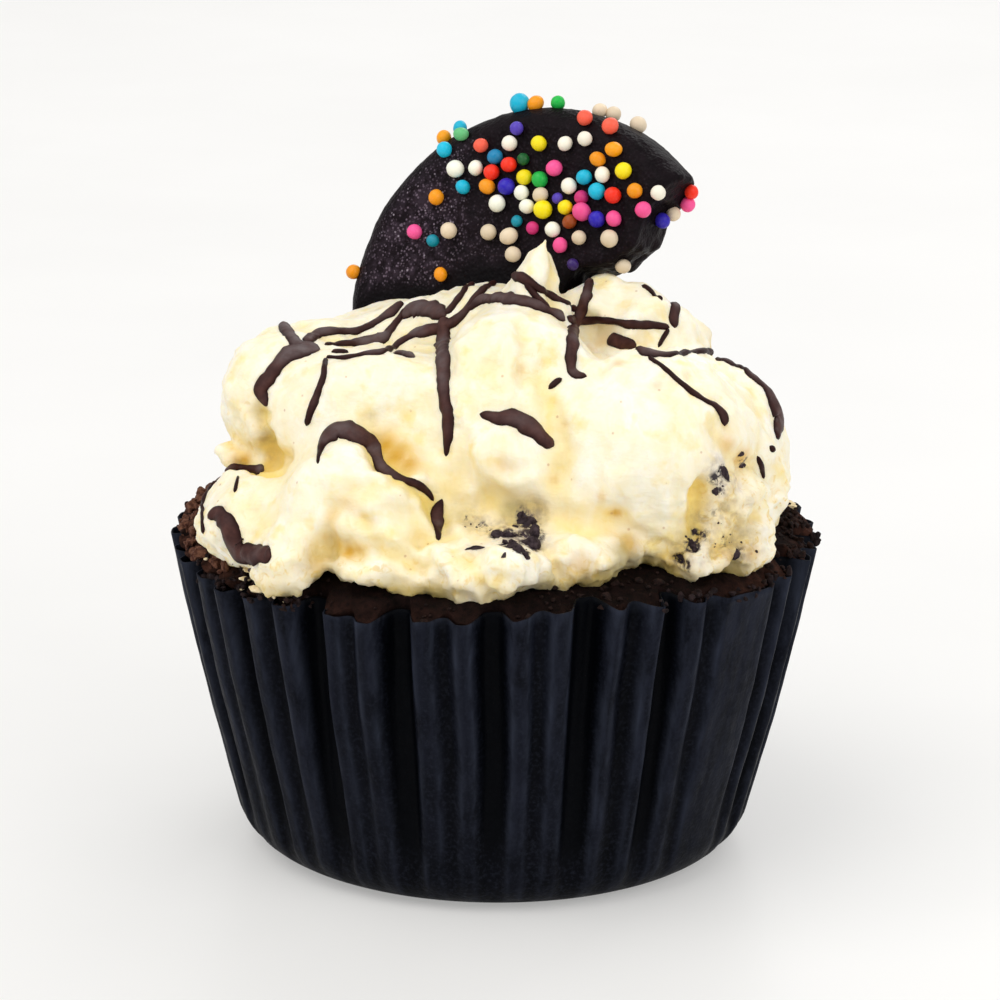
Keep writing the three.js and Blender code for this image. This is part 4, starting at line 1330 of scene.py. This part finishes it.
def ribbon(P, N, width, out, sunk=0.16):
    """A rounded ribbon of chocolate along P that follows the frosting under it, tapering to round ends."""
    n = len(P)
    T = np.gradient(P, axis=0)
    T /= np.linalg.norm(T, axis=1)[:, None] + 1e-9
    side = np.cross(N, T)
    side /= np.linalg.norm(side, axis=1)[:, None] + 1e-9
    s = np.concatenate([[0], np.cumsum(np.linalg.norm(np.diff(P, axis=0), axis=1))])
    tip = np.maximum(width * 0.5, 0.25)
    ends = np.sqrt(np.clip(1 - np.clip(1 - s / tip, 0, 1) ** 2, 0.02, 1)) * \
        np.sqrt(np.clip(1 - np.clip(1 - (s[-1] - s) / tip, 0, 1) ** 2, 0.02, 1))
    half = width * 0.5 * ends
    tall = np.minimum(0.19 + width * 0.17, 0.5) * ends

    # the two edges wander, each in its own way
    loose = 0.35 + 0.65 * smoothstep(0.6, 1.4, width)
    left, right = (1 + loose * (0.30 * noise(P / 1.3 + k, 611) + 0.16 * noise(P / 0.6 + k, 612)) for k in (3.3, 41.7))

    def foot(offset):
        offset = offset * np.where(offset > 0, left, right)
        out_points = P + side * offset[:, None]
        for i in range(n):
            near = frosting_tree.find_nearest(Vector(out_points[i]), 2.5)
            if near[0] is not None:
                q = np.array(near[0])
                # keep the sideways place, take the height over the surface
                out_points[i] += N[i] * ((q - out_points[i]) @ N[i])
        return smooth_line(out_points, 1)

    # crown runs from the ribbon's sides to its top and darkens the sides as painted shade; the third list is a painted
    # sheen
    rings, crown, painted_sheen = [], [], []
    wide = np.clip(width / 1.5, 0.35, 1)
    # painted sheen: broad places on top of the mound, facing up, get a dull grey painted reflection of the light above
    painted_sheen_share = smoothstep(0.8, 1.7, width) * (0.08 + 0.8 * smoothstep(0.55, 0.9, N[:, 2]))
    for degrees in (180, 156, 128, 100, 80, 52, 24, 0):
        a = math.radians(degrees)
        rings.append(foot(half * math.cos(a)) + N * (tall * math.sin(a) - 0.03)[:, None])
        crown.append(wide * math.sin(a))
        painted_sheen.append(painted_sheen_share * math.sin(a) ** 2)
    for k in (0.8, -0.8):
        rings.append(foot(half * k) - N * sunk)
        crown.append(wide * 0)
        painted_sheen.append(wide * 0)
    R = np.stack(rings, 1)
    m = R.shape[1]
    base = sum(len(v) for v in out[0])
    idx = base + np.arange(n * m).reshape(n, m)
    faces = []
    for i in range(n - 1):
        for j in range(m):
            k = (j + 1) % m
            faces.append((idx[i][j], idx[i + 1][j], idx[i + 1][k], idx[i][k]))
    faces.append(tuple(idx[0][::1]))
    faces.append(tuple(idx[-1][::-1]))
    out[0].append(R.reshape(-1, 3))
    out[1].extend(faces)
    out[2].append(np.stack(crown, 1).ravel())
    out[3].append(np.stack(painted_sheen, 1).ravel())


def smooth_line(P, steps):
    P = P.copy()
    for _ in range(steps):
        P[1:-1] = 0.25 * P[:-2] + 0.5 * P[1:-1] + 0.25 * P[2:]
    return P


def view_scale(p, across):
    """View pixels that a millimetre along a direction at a point spans."""
    def at(q):
        d = q - CAM_PLACE
        depth = d @ FORWARD
        return np.array([d @ RIGHT, d @ UP]) * CAM_FOCAL / depth
    return np.linalg.norm(at(p + across) - at(p))


def lay_stroke(hits, normals, widths, out, in_view=False):
    """Splits a line of hits where it jumps, and lays each run of it on the frosting."""
    hits, normals, widths = np.array(hits), np.array(normals), np.array(widths)
    jump = np.linalg.norm(np.diff(hits, axis=0), axis=1)
    cuts = [0] + [i + 1 for i in np.where(jump > (5.5 if in_view else 2.2))[0]] + [len(hits)]
    for a, b in zip(cuts[:-1], cuts[1:]):
        if b - a < 4:
            continue
        P, W = smooth_line(hits[a:b], 4), smooth_line(widths[a:b, None], 2)[:, 0]
        s = np.concatenate([[0], np.cumsum(np.linalg.norm(np.diff(P, axis=0), axis=1))])
        if s[-1] < 0.9:
            continue
        # evenly spaced points on the frosting, spaced again where it curves away under the line
        for _ in range(5):
            s = np.concatenate([[0], np.cumsum(np.linalg.norm(np.diff(P, axis=0), axis=1))])
            at = np.linspace(0, s[-1], max(int(s[-1] / 0.22), 6))
            P = np.stack([np.interp(at, s, P[:, k]) for k in range(3)], 1)
            W = np.interp(at, s, W)
            near = [frosting_tree.find_nearest(Vector(p)) for p in P]
            P = np.array([np.array(spot[0]) for spot in near])
            gap = np.linalg.norm(np.diff(P, axis=0), axis=1)
            if gap.max() < 0.5:
                break
        # a hollow too deep to follow parts the run
        parts = [0] + [i + 1 for i in np.where(gap > 1.5)[0]] + [len(P)]
        facing = np.array([np.array(spot[1]) for spot in near])
        for c, d in zip(parts[:-1], parts[1:]):
            if d - c < 6:
                continue
            Q, M, wide = smooth_line(P[c:d], 1), smooth_line(facing[c:d], 12), W[c:d]
            M /= np.linalg.norm(M, axis=1)[:, None] + 1e-9
            if in_view:
                # widths were given in view pixels: a line on a surface seen edge on is wider than it looks
                T = np.gradient(Q, axis=0)
                S = np.cross(M, T / (np.linalg.norm(T, axis=1)[:, None] + 1e-9))
                scale = np.array([view_scale(q, t) for q, t in zip(Q, S)])
                wide = smooth_line((wide / np.maximum(scale, 1.35))[:, None], 6)[:, 0]
            ribbon(Q, M, wide, out)


def build_drizzle():
    out = ([], [], [], [])
    r = np.random.RandomState(5)
    for k, stroke in enumerate(STROKES):
        line = through(stroke, 0.6 if len(stroke) > 2 else 0.25)
        hits, normals, widths = [], [], []
        for i, (u, v, w) in enumerate(line):
            spot = beside(frosting_tree, u, v, 1.8)
            if spot is None:
                continue
            hits.append(spot[0])
            normals.append(spot[1])
            widths.append(w * (1 + 0.2 * noise(np.array([[i * 0.16, k * 3.7, 0.5]]), 613)[0]))
        if len(hits) > 4:
            lay_stroke(hits, normals, widths, out, True)
    # the sides and back: the same loose to and fro, poured from above
    for start, end, swings, wide in (
        ((-25, 9), (14, 27), 4, 1.15), ((-8, 24), (26, 9), 4, 0.9), ((-22, 16), (20, 18), 3, 1.3),
        ((-26, 5), (-14, 26), 3, 1.0), ((26, 3), (10, 26), 3, 1.0),
    ):
        a, b = np.array(start, float), np.array(end, float)
        across = np.array([-(b - a)[1], (b - a)[0]]) / np.linalg.norm(b - a)
        pts = []
        for i in range(swings * 2 + 1):
            t = i / (swings * 2)
            reach = (1 if i % 2 else -1) * r.uniform(2.5, 8.0)
            p = a + (b - a) * (t + r.uniform(-0.03, 0.03)) + across * reach
            pts.append((p[0], p[1], wide * r.uniform(0.55, 1.5)))
        hits, normals, widths = [], [], []
        for x, y, w in through(pts, 0.25):
            hit = frosting_tree.ray_cast(Vector((x, y, 90)), Vector((0, 0, -1)))
            if hit[0] is None or hit[0].z < 40.5:
                if hits:
                    lay_stroke(hits, normals, widths, out)
                hits, normals, widths = [], [], []
                continue
            p = np.array(hit[0])
            # keep clear of what the front strokes already cover, and of the disc
            behind = (p - DISC_CENTRE) @ DISC_N
            if (behind > -DISC_HALF - 1.5 and abs(p[0]) < 21) or seen(p, np.array(hit[1])):
                if hits:
                    lay_stroke(hits, normals, widths, out)
                hits, normals, widths = [], [], []
                continue
            hits.append(p)
            normals.append(np.array(hit[1]))
            widths.append(w)
        if hits:
            lay_stroke(hits, normals, widths, out)
    # short flicks and dots
    for _ in range(16):
        a = r.uniform(math.radians(75), math.radians(285))
        q = np.array([math.sin(a), -math.cos(a)]) * r.uniform(12, 29)
        turn = r.uniform(0, TAU)
        d = np.array([math.cos(turn), math.sin(turn)])
        long = r.uniform(1.2, 5)
        pts = [(q[0], q[1], 0.8), (*(q + d * long * 0.5 + r.normal(size=2) * 0.5), r.uniform(0.7, 1.5)), (*(q + d * long), 0.6)]
        hits, normals, widths = [], [], []
        for x, y, w in through(pts, 0.25):
            hit = frosting_tree.ray_cast(Vector((x, y, 90)), Vector((0, 0, -1)))
            if hit[0] is None or hit[0].z < 40 or seen(np.array(hit[0]), np.array(hit[1])):
                continue
            hits.append(np.array(hit[0]))
            normals.append(np.array(hit[1]))
            widths.append(w)
        if len(hits) > 4:
            lay_stroke(hits, normals, widths, out)
    ob = mesh_object("drizzle", np.concatenate(out[0]), out[1])
    add_values(ob, "crown", np.concatenate(out[2]))
    add_values(ob, "painted_sheen", np.concatenate(out[3]))
    ob.data.materials.append(material_drizzle())
    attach(ob, "root")
    return ob


build_drizzle()


# ------------------------------------------------------------------ biscuit bits in the frosting, crumbs

def shard(r, directions, cuts=11):
    """A small many-sided lump: a ball cut flat by random planes."""
    n = r.normal(size=(cuts, 3))
    n /= np.linalg.norm(n, axis=1)[:, None]
    h = r.uniform(0.45, 0.95, cuts)
    reach = h / np.maximum(directions @ n.T, 0.05)
    return directions * np.minimum(reach.min(1), 1.05)[:, None]


def chips(name, places, seed, mat):
    """Angular pieces: each place is (point, normal, size, how far it stands out, and perhaps its three shares)."""
    r = np.random.RandomState(seed)
    coarse, fine = ball(1), ball(2)
    V, F, count = [], [], 0
    for place in places:
        p, n, size, proud = place[:4]
        bv, bf = fine if size > 0.8 else coarse
        share = place[4] if len(place) > 4 else r.uniform(0.6, 1.15, 3)
        n = np.asarray(n, float)
        # a frame with its third axis along the normal
        a = np.cross(n, [0, 0, 1.0] if abs(n[2]) < 0.9 else [1.0, 0, 0])
        a /= np.linalg.norm(a)
        b = np.cross(n, a)
        t = place[5] if len(place) > 5 else r.uniform(0, TAU)
        a, b = a * math.cos(t) + b * math.sin(t), -a * math.sin(t) + b * math.cos(t)
        v = shard(r, bv) * (1 + 0.10 * noise(bv * 3 + r.uniform(0, 60, 3), 602))[:, None]
        v = v * (np.asarray(share) * size * 0.5)
        V.append(v @ np.stack([a, b, n]) + np.asarray(p) + n * size * 0.5 * proud)
        F.append(bf + count)
        count += len(bv)
    ob = mesh_object(name, np.concatenate(V), np.concatenate(F), smooth=False)
    ob.data.materials.append(mat)
    return ob


# Biscuit pieces of the front: view x, y, size in mm, how far it stands out, shares along, across and out, turn
CHUNKS = [
    (496.0, 493.0, 2.2, -0.1, (0.9, 1.0, 0.8), 0.3), (497.8, 496.6, 2.0, -0.1, (0.8, 1.0, 0.8), 1.2),
    (497.2, 500.4, 2.2, -0.1, (1.0, 0.9, 0.8), 0.4), (493.6, 502.6, 2.2, -0.1, (1.0, 0.8, 0.8), 2.0),
    (490.2, 501.2, 1.9, -0.15, (0.9, 1.0, 0.7), 0.0), (489.8, 497.2, 1.6, -0.15, (0.8, 1.0, 0.8), 0.0),
    (486.2, 497.0, 1.4, -0.1, (0.9, 1.0, 0.7), 0.0), (494.0, 497.2, 1.5, -0.35, (0.9, 1.0, 0.7), 0.0),
    (492.4, 494.4, 1.2, -0.3, (0.9, 1.0, 0.7), 0.8), (495.2, 499.6, 1.2, -0.3, (0.9, 1.0, 0.7), 1.8),
    (491.4, 499.4, 1.3, -0.25, (0.9, 1.0, 0.7), 0.4), (495.2, 503.4, 1.4, -0.2, (0.9, 1.0, 0.7), 1.0),
    (497.8, 494.4, 1.3, -0.2, (0.9, 1.0, 0.7), 0.0), (488.6, 499.4, 1.3, -0.25, (0.9, 1.0, 0.7), 1.4),
    (494.2, 491.2, 1.2, -0.25, (0.9, 1.0, 0.7), 0.9),
    (479.1, 501.6, 2.4, -0.1, (0.30, 1.0, 0.35), 0.0), (488.4, 503.8, 0.9, -0.2, (1.0, 0.7, 0.7), 0.7),
    (559.4, 477.2, 2.8, -0.1, (0.36, 1.0, 0.4), 0.75), (557.6, 482.6, 1.6, -0.4, (1.0, 0.9, 0.6), 0.0),
    (564.6, 471.2, 1.0, -0.1, (1.0, 0.6, 0.7), 0.3), (565.4, 475.0, 1.1, -0.2, (0.7, 1.0, 0.7), 0.9),
    (549.6, 496.2, 1.0, -0.1, (0.7, 1.0, 0.6), -0.5), (549.4, 500.8, 1.7, -0.1, (1.0, 0.8, 0.7), -0.7),
    (545.4, 504.4, 2.2, -0.1, (1.0, 0.45, 0.5), -0.6), (558.6, 510.6, 1.4, 0.1, (1.0, 0.8, 0.7), 1.4),
    (563.4, 502.6, 1.7, -0.4, (1.0, 0.6, 0.7), 0.6), (560.6, 499.0, 1.4, -0.45, (1.0, 0.8, 0.7), 0.2),
]
# Where broken biscuit shows through the frosting: view x, y, spread in mm, amount
BISCUIT = [
    (495.8, 493.4, 1.2, 1.0), (497.6, 497.0, 1.2, 1.0), (496.4, 500.8, 1.2, 1.0), (493.2, 502.4, 1.1, 1.0),
    (490.0, 500.8, 1.1, 1.0), (489.8, 497.2, 1.0, 0.95), (486.3, 497.0, 0.9, 0.85), (493.8, 489.6, 0.7, 0.55),
    (493.4, 497.6, 1.2, 0.6),
    (476.0, 491.6, 0.5, 0.45), (481.6, 494.0, 0.6, 0.55), (483.4, 495.8, 0.5, 0.6), (479.1, 501.6, 0.4, 0.7),
    (558.4, 476.0, 0.5, 0.8), (560.4, 479.0, 0.5, 0.8), (557.8, 483.0, 0.7, 0.55), (549.6, 496.4, 0.5, 0.8),
    (549.2, 501.0, 1.0, 0.95), (545.2, 504.6, 0.9, 0.95), (552.0, 497.6, 0.8, 0.7), (547.4, 507.0, 0.7, 0.7), (556.6, 479.0, 0.9, 0.7), (565.4, 473.4, 0.7, 0.6), (564.0, 502.8, 0.8, 0.5), (559.4, 499.4, 0.9, 0.45),
    (553.4, 497.0, 0.7, 0.4), (556.0, 490.0, 0.7, 0.35), (566.4, 490.4, 0.6, 0.3), (560.0, 510.4, 0.7, 0.9),
]


def build_bits():
    r = np.random.RandomState(19)
    bits, smears = [], []
    for u, v, size, proud, share, turn in CHUNKS:
        spot = view_spot(frosting_tree, u, v)
        if spot is not None:
            bits.append((*spot, size, proud, share, turn))
    # loose grains round them: view x, y, spread, count, size in mm
    for u, v, su, sv, count, lo, hi in (
        (494, 498, 5.0, 5.0, 9, 0.2, 0.5), (479, 494, 4.5, 2.6, 5, 0.2, 0.4), (559, 480, 3.4, 4.4, 5, 0.2, 0.45),
        (549, 501, 4.0, 3.6, 6, 0.2, 0.5), (562, 498, 6.0, 6.0, 8, 0.2, 0.5), (401, 508, 6.0, 1.6, 8, 0.3, 0.8),
    ):
        for _ in range(count):
            spot = view_spot(frosting_tree, u + r.normal() * su * 0.6, v + r.normal() * sv * 0.6)
            if spot is not None:
                bits.append((*spot, r.uniform(lo, hi), r.uniform(-0.4, 0.0)))
    for u, v, spread, amount in ((494.0, 498, 2.4, 0.85), (488, 495, 1.8, 0.65), (496.5, 491, 1.8, 0.75), (479.0, 493.5, 1.7, 0.55),
                                 (557, 476, 1.6, 0.6), (563, 480, 1.3, 0.5), (547.5, 502.5, 1.8, 0.6), (553, 498, 1.5, 0.5), (479.1, 501.5, 1.0, 0.45),
                                 (483, 495, 1.0, 0.6), (559, 491, 2.6, 0.42), (563, 501, 2.6, 0.5), (552, 492, 1.6, 0.42),
                                 (559, 482, 1.4, 0.55), (549, 500, 1.3, 0.5), (567, 486, 1.4, 0.3), (554, 503, 1.6, 0.4),
                                 (411.5, 466, 1.1, 0.45), (413.5, 472, 1.0, 0.3), (409, 460, 0.8, 0.25)):
        spot = view_spot(frosting_tree, u, v)
        if spot is not None:
            smears.append((spot[0], spread, amount))
    dark = [(view_spot(frosting_tree, u, v), spread, amount) for u, v, spread, amount in BISCUIT]
    dark = [(spot[0], spread, amount) for spot, spread, amount in dark if spot is not None]
    # the rest of the mound carries bits too
    sel = r.choice(len(FV), 6000, replace=False)
    N = normals_of(FV, FQ)
    kept = 0
    for i in sel:
        p = FV[i]
        if kept > 95:
            break
        if p[2] < 37 or noise(p[None] / 7.0, 71)[0] < 0.05 or seen(p, N[i], 1.3):
            continue
        size = 0.35 + 2.2 * r.uniform() ** 2.6
        bits.append((p, N[i], size, r.uniform(-0.55, -0.2)))
        if size > 0.9:
            smears.append((p, size * r.uniform(0.9, 1.5), r.uniform(0.35, 0.8)))
            dark.append((p + r.normal(size=3) * 0.5, size * r.uniform(0.4, 0.7), r.uniform(0.6, 1.0)))
        kept += 1
    ob = chips("biscuit_bits", bits, 20, material_crumbs("black_biscuit", (34, 25, 30), (72, 60, 64)))
    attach(ob, "root")
    # grey smears where bits were folded in, and yellow spots: butter flecks, and painted shade in pits and creases
    smear = np.zeros(len(FV))
    for p, spread, amount in smears:
        d = np.linalg.norm(FV - p, axis=1)
        smear = np.maximum(smear, amount * np.exp(-(d / spread) ** 2))
    add_values(frosting, "smear", np.clip(smear, 0, 1))
    biscuit = np.zeros(len(FV))
    for p, spread, amount in dark:
        d = np.linalg.norm(FV - p, axis=1)
        biscuit = np.maximum(biscuit, amount * np.exp(-(d / spread) ** 2))
    add_values(frosting, "biscuit", np.clip(biscuit, 0, 1))
    butter_and_pit_shade = np.zeros(len(FV))
    yellow_spots = []
    # view x, y, spread, amount: butter flecks, and painted shade in the pits and hollows of the front
    for u, v, spread, amount in ((402.5, 472.6, 1.2, 0.5), (404.8, 473.2, 0.9, 0.9), (453.6, 471.8, 1.8, 1.0), (450.0, 468.6, 1.6, 1.0),
                                 (457.5, 474.4, 1.3, 0.9), (446.5, 466.5, 1.0, 0.5), (560.5, 468.0, 1.0, 0.55), (565, 472.5, 1.1, 0.7),
                                 (520, 434.5, 1.0, 0.5), (525, 442, 0.7, 0.45), (524.3, 490, 0.55, 0.95), (519.5, 485, 0.6, 0.5),
                                 (438.6, 502.8, 0.9, 1.0), (441.5, 502.0, 0.8, 0.7), (435.5, 500.5, 0.9, 0.5), (433.5, 491.5, 1.0, 0.35), (438, 487, 1.3, 0.3), (488, 475, 1.0, 0.35),
                                 (504.5, 479.5, 0.45, 0.5), (508, 461.5, 0.4, 0.35), (513, 507.5, 1.4, 0.5), (529, 500, 1.4, 0.55), (541, 505, 1.1, 0.3), (561, 504, 1.2, 0.5), (568, 503, 1.0, 0.5),
                                 (428, 507, 1.4, 0.45), (516, 437, 0.8, 0.4), (493.8, 436, 0.5, 0.3), (493.8, 444, 0.5, 0.3),
                                 (555, 455, 0.5, 0.5), (559, 462, 0.45, 0.4), (537.5, 449, 0.6, 0.35)):
        spot = view_spot(frosting_tree, u, v)
        if spot is not None:
            yellow_spots.append((spot[0], spread, amount))
    for i in r.choice(len(FV), 60, replace=False):
        if not seen(FV[i], N[i]):
            yellow_spots.append((FV[i], r.uniform(0.6, 2.0), r.uniform(0.3, 0.9)))
    # painted shade, greyish yellow, where the frosting turns away beside a gap: view x, y, spread, amount
    painted_gap_shade = np.zeros(len(FV))
    for u, v, spread, amount in ((430.5, 508, 2.2, 0.8), (427.0, 512.5, 1.8, 0.75), (432, 502, 1.4, 0.28), (420, 516, 1.5, 0.35),
                                 (465, 517, 1.3, 0.4), (500, 514, 1.3, 0.5), (503, 511, 1.2, 0.35), (528, 502.5, 2.1, 0.85),
                                 (535, 506, 1.6, 0.45), (541, 510.5, 1.2, 0.2), (450, 510.5, 1.3, 0.4), (562, 506, 2.1, 0.42), (568, 498, 1.7, 0.38), (549, 498, 1.5, 0.22), (437.5, 499.5, 1.1, 0.2), (446, 494, 1.0, 0.2),
                                 (412, 466, 1.5, 0.4), (409, 458, 1.3, 0.3), (474, 489.5, 1.8, 0.35), (490, 489, 1.8, 0.5),
                                 (454, 470, 1.0, 0.3), (407, 514, 1.2, 0.4), (398, 492, 1.4, 0.2)):
        spot = view_spot(frosting_tree, u, v)
        if spot is not None:
            d = np.linalg.norm(FV - spot[0], axis=1)
            painted_gap_shade = np.maximum(painted_gap_shade, amount * np.exp(-(d / spread) ** 2))
    add_values(frosting, "painted_gap_shade", np.clip(painted_gap_shade * (0.8 + 0.5 * noise(FV / 2.0, 46)), 0, 1))
    for p, spread, amount in yellow_spots:
        d = np.linalg.norm(FV - p, axis=1)
        butter_and_pit_shade = np.maximum(butter_and_pit_shade, amount * np.exp(-(d / spread) ** 2))
    add_values(frosting, "butter_and_pit_shade", np.clip(butter_and_pit_shade, 0, 1))


build_bits()
frosting.data.materials.append(material_frosting())


def build_crumbs():
    r = np.random.RandomState(23)
    places = []
    n = 0
    while n < 520:
        a = r.uniform(-180, 180)
        rad = r.uniform(26, 33.4)
        x, y = rad * math.sin(math.radians(a)), -rad * math.cos(math.radians(a))
        z = float(cake_top(np.array([x]), np.array([y]))[0])
        if rad > case_radius(a, 34.5) - 0.9:
            continue
        if frosting_tree.ray_cast(Vector((x, y, z + 0.3)), Vector((0, 0, 1)))[0] is not None and r.uniform() < 0.6:
            continue
        size = 0.35 + 0.9 * r.uniform() ** 2.2
        places.append(((x, y, z), (0, 0, 1), size, r.uniform(0.1, 0.8)))
        n += 1
    # crumbs caught on the rim, at the left and right of the front
    for lo, hi, count in ((-72, -36, 50), (46, 100, 36), (100, 150, 20), (-150, -110, 20)):
        for _ in range(count):
            a = r.uniform(lo, hi)
            top = float(rim_level(a))
            rad = float(case_radius(a, top)) + r.uniform(-1.8, 0.15)
            x, y = rad * math.sin(math.radians(a)), -rad * math.cos(math.radians(a))
            places.append(((x, y, top + r.uniform(-0.3, 0.5)), (0, 0, 1), r.uniform(0.3, 1.2), r.uniform(-0.1, 0.5)))
    # dark, loose crumbs heaped at the right of the front
    for _ in range(130):
        a = r.uniform(60, 120)
        rad = r.uniform(29.8, 33.2)
        top = float(rim_level(a))
        x, y = rad * math.sin(math.radians(a)), -rad * math.cos(math.radians(a))
        z = float(cake_top(np.array([x]), np.array([y]))[0]) + r.uniform(-0.2, 0.4)
        places.append(((x, y, z), (0, 0, 1), 0.35 + 0.9 * r.uniform() ** 1.6, r.uniform(-0.2, 0.3)))
    ob = chips("cake_crumbs", places, 24, material_crumbs("loose_crumb", (18, 10, 9), (44, 27, 23)))
    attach(ob, "root")
    # a paler, crusty edge of cake standing up to the rim beside the frosting
    crust = []
    for lo, hi, count in ((-112, -56, 170), (-175, -125, 60), (130, 175, 50)):
        for _ in range(count):
            a = r.uniform(lo, hi)
            rad = r.uniform(30.6, 33.6)
            top = float(rim_level(a))
            x, y = rad * math.sin(math.radians(a)), -rad * math.cos(math.radians(a))
            z = float(cake_top(np.array([x]), np.array([y]))[0]) + r.uniform(-0.2, 0.5)
            crust.append(((x, y, max(z, top + 0.2) if rad > case_radius(a, top) - 0.5 else z), (0, 0, 1), r.uniform(0.5, 1.7),
                          r.uniform(-0.1, 0.4)))
    ob = chips("crust_crumbs", crust, 27, material_crumbs("crust_crumb", (60, 32, 25), (118, 80, 62)))
    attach(ob, "root")
    # dark flakes and dabs of frosting on the edge of the paper at both sides of the front
    flakes, dabs = [], []
    for lo, hi, dark, light in ((-68, -34, 70, 0), (46, 90, 50, 0), (30, 46, 12, 0), (100, 170, 22, 0), (-170, -100, 22, 0)):
        for i in range(dark + light):
            a = r.uniform(lo, hi)
            top = float(rim_level(a))
            rad = float(case_radius(a, top)) + r.uniform(-1.2, 0.3)
            spot = (rad * math.sin(math.radians(a)), -rad * math.cos(math.radians(a)), top + r.uniform(-0.5, 0.7))
            if i < dark:
                flakes.append((spot, (0, 0, 1), r.uniform(0.4, 1.2), 0.0))
            else:
                dabs.append((spot, (0, 0, 1), r.uniform(0.4, 1.0), 0.1, r.uniform(0.4, 1.1, 3)))
    # torn dabs of frosting and dark crumbs by turns along its edge, at the left of the front and here and there behind
    for lo, hi, count in ((-66, -36, 70), (100, 160, 22), (-160, -100, 22)):
        for i in range(count):
            a = r.uniform(lo, hi)
            rad = r.uniform(30.4, 34.2)
            x, y = rad * math.sin(math.radians(a)), -rad * math.cos(math.radians(a))
            z = max(float(cake_top(np.array([x]), np.array([y]))[0]), float(rim_level(a)) if rad > 33 else 0)
            if i % 3 == 0:
                if i % 2 or lo == -66:
                    dabs.append(((x, y, z + 0.1), (0, 0, 1), 0.5 + 1.5 * r.uniform() ** 1.6, -0.1, (1.0, r.uniform(0.6, 1.1), 0.45)))
            else:
                flakes.append(((x, y, z + r.uniform(0, 0.5)), (0, 0, 1), r.uniform(0.4, 1.1), 0.1))
    ob = chips("rim_flakes", flakes, 25, material_crumbs("dark_crumb", (16, 9, 10), (44, 32, 33)))
    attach(ob, "root")
    ob = chips("frosting_dabs", dabs, 26, material_crumbs("loose_frosting", (226, 204, 154), (250, 236, 204)))
    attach(ob, "root")


build_crumbs()


# ------------------------------------------------------------------ floor, light

def build_floor():
    me = bpy.data.meshes.new("floor")
    me.from_pydata([(-3, -3, 0), (3, -3, 0), (3, 3, 0), (-3, 3, 0)], [], [(0, 1, 2, 3)])
    ob = bpy.data.objects.new("floor", me)
    bpy.context.scene.collection.objects.link(ob)
    ob.location.z = -0.00002
    me.materials.append(material_floor())


build_floor()


def lamp(name, place, target, size, watts, colour=(1, 1, 1)):
    data = bpy.data.lights.new(name, "AREA")
    data.shape = "RECTANGLE"
    data.size, data.size_y = size
    data.energy = watts
    data.color = colour
    ob = bpy.data.objects.new(name, data)
    bpy.context.scene.collection.objects.link(ob)
    ob.location = place
    ob.rotation_mode = "QUATERNION"
    ob.rotation_quaternion = (Vector(target) - Vector(place)).to_track_quat("-Z", "Y")
    return ob


world = bpy.data.worlds.new("world")
bpy.context.scene.world = world
world.use_nodes = True
world.node_tree.nodes["Background"].inputs[0].default_value = (1.0, 1.0, 1.0, 1)
world.node_tree.nodes["Background"].inputs[1].default_value = 0.66
lamp("key", (-0.45, -0.30, 0.82), (0, 0, 0.04), (0.95, 0.95), 4.7, (1.0, 0.99, 0.97))
lamp("fill", (0.55, -0.50, 0.50), (0, 0, 0.05), (0.6, 0.6), 2.0)
lamp("rim", (0.30, 0.60, 0.55), (0, 0, 0.05), (0.5, 0.3), 1.6)
bpy.context.scene.view_settings.view_transform = "Standard"
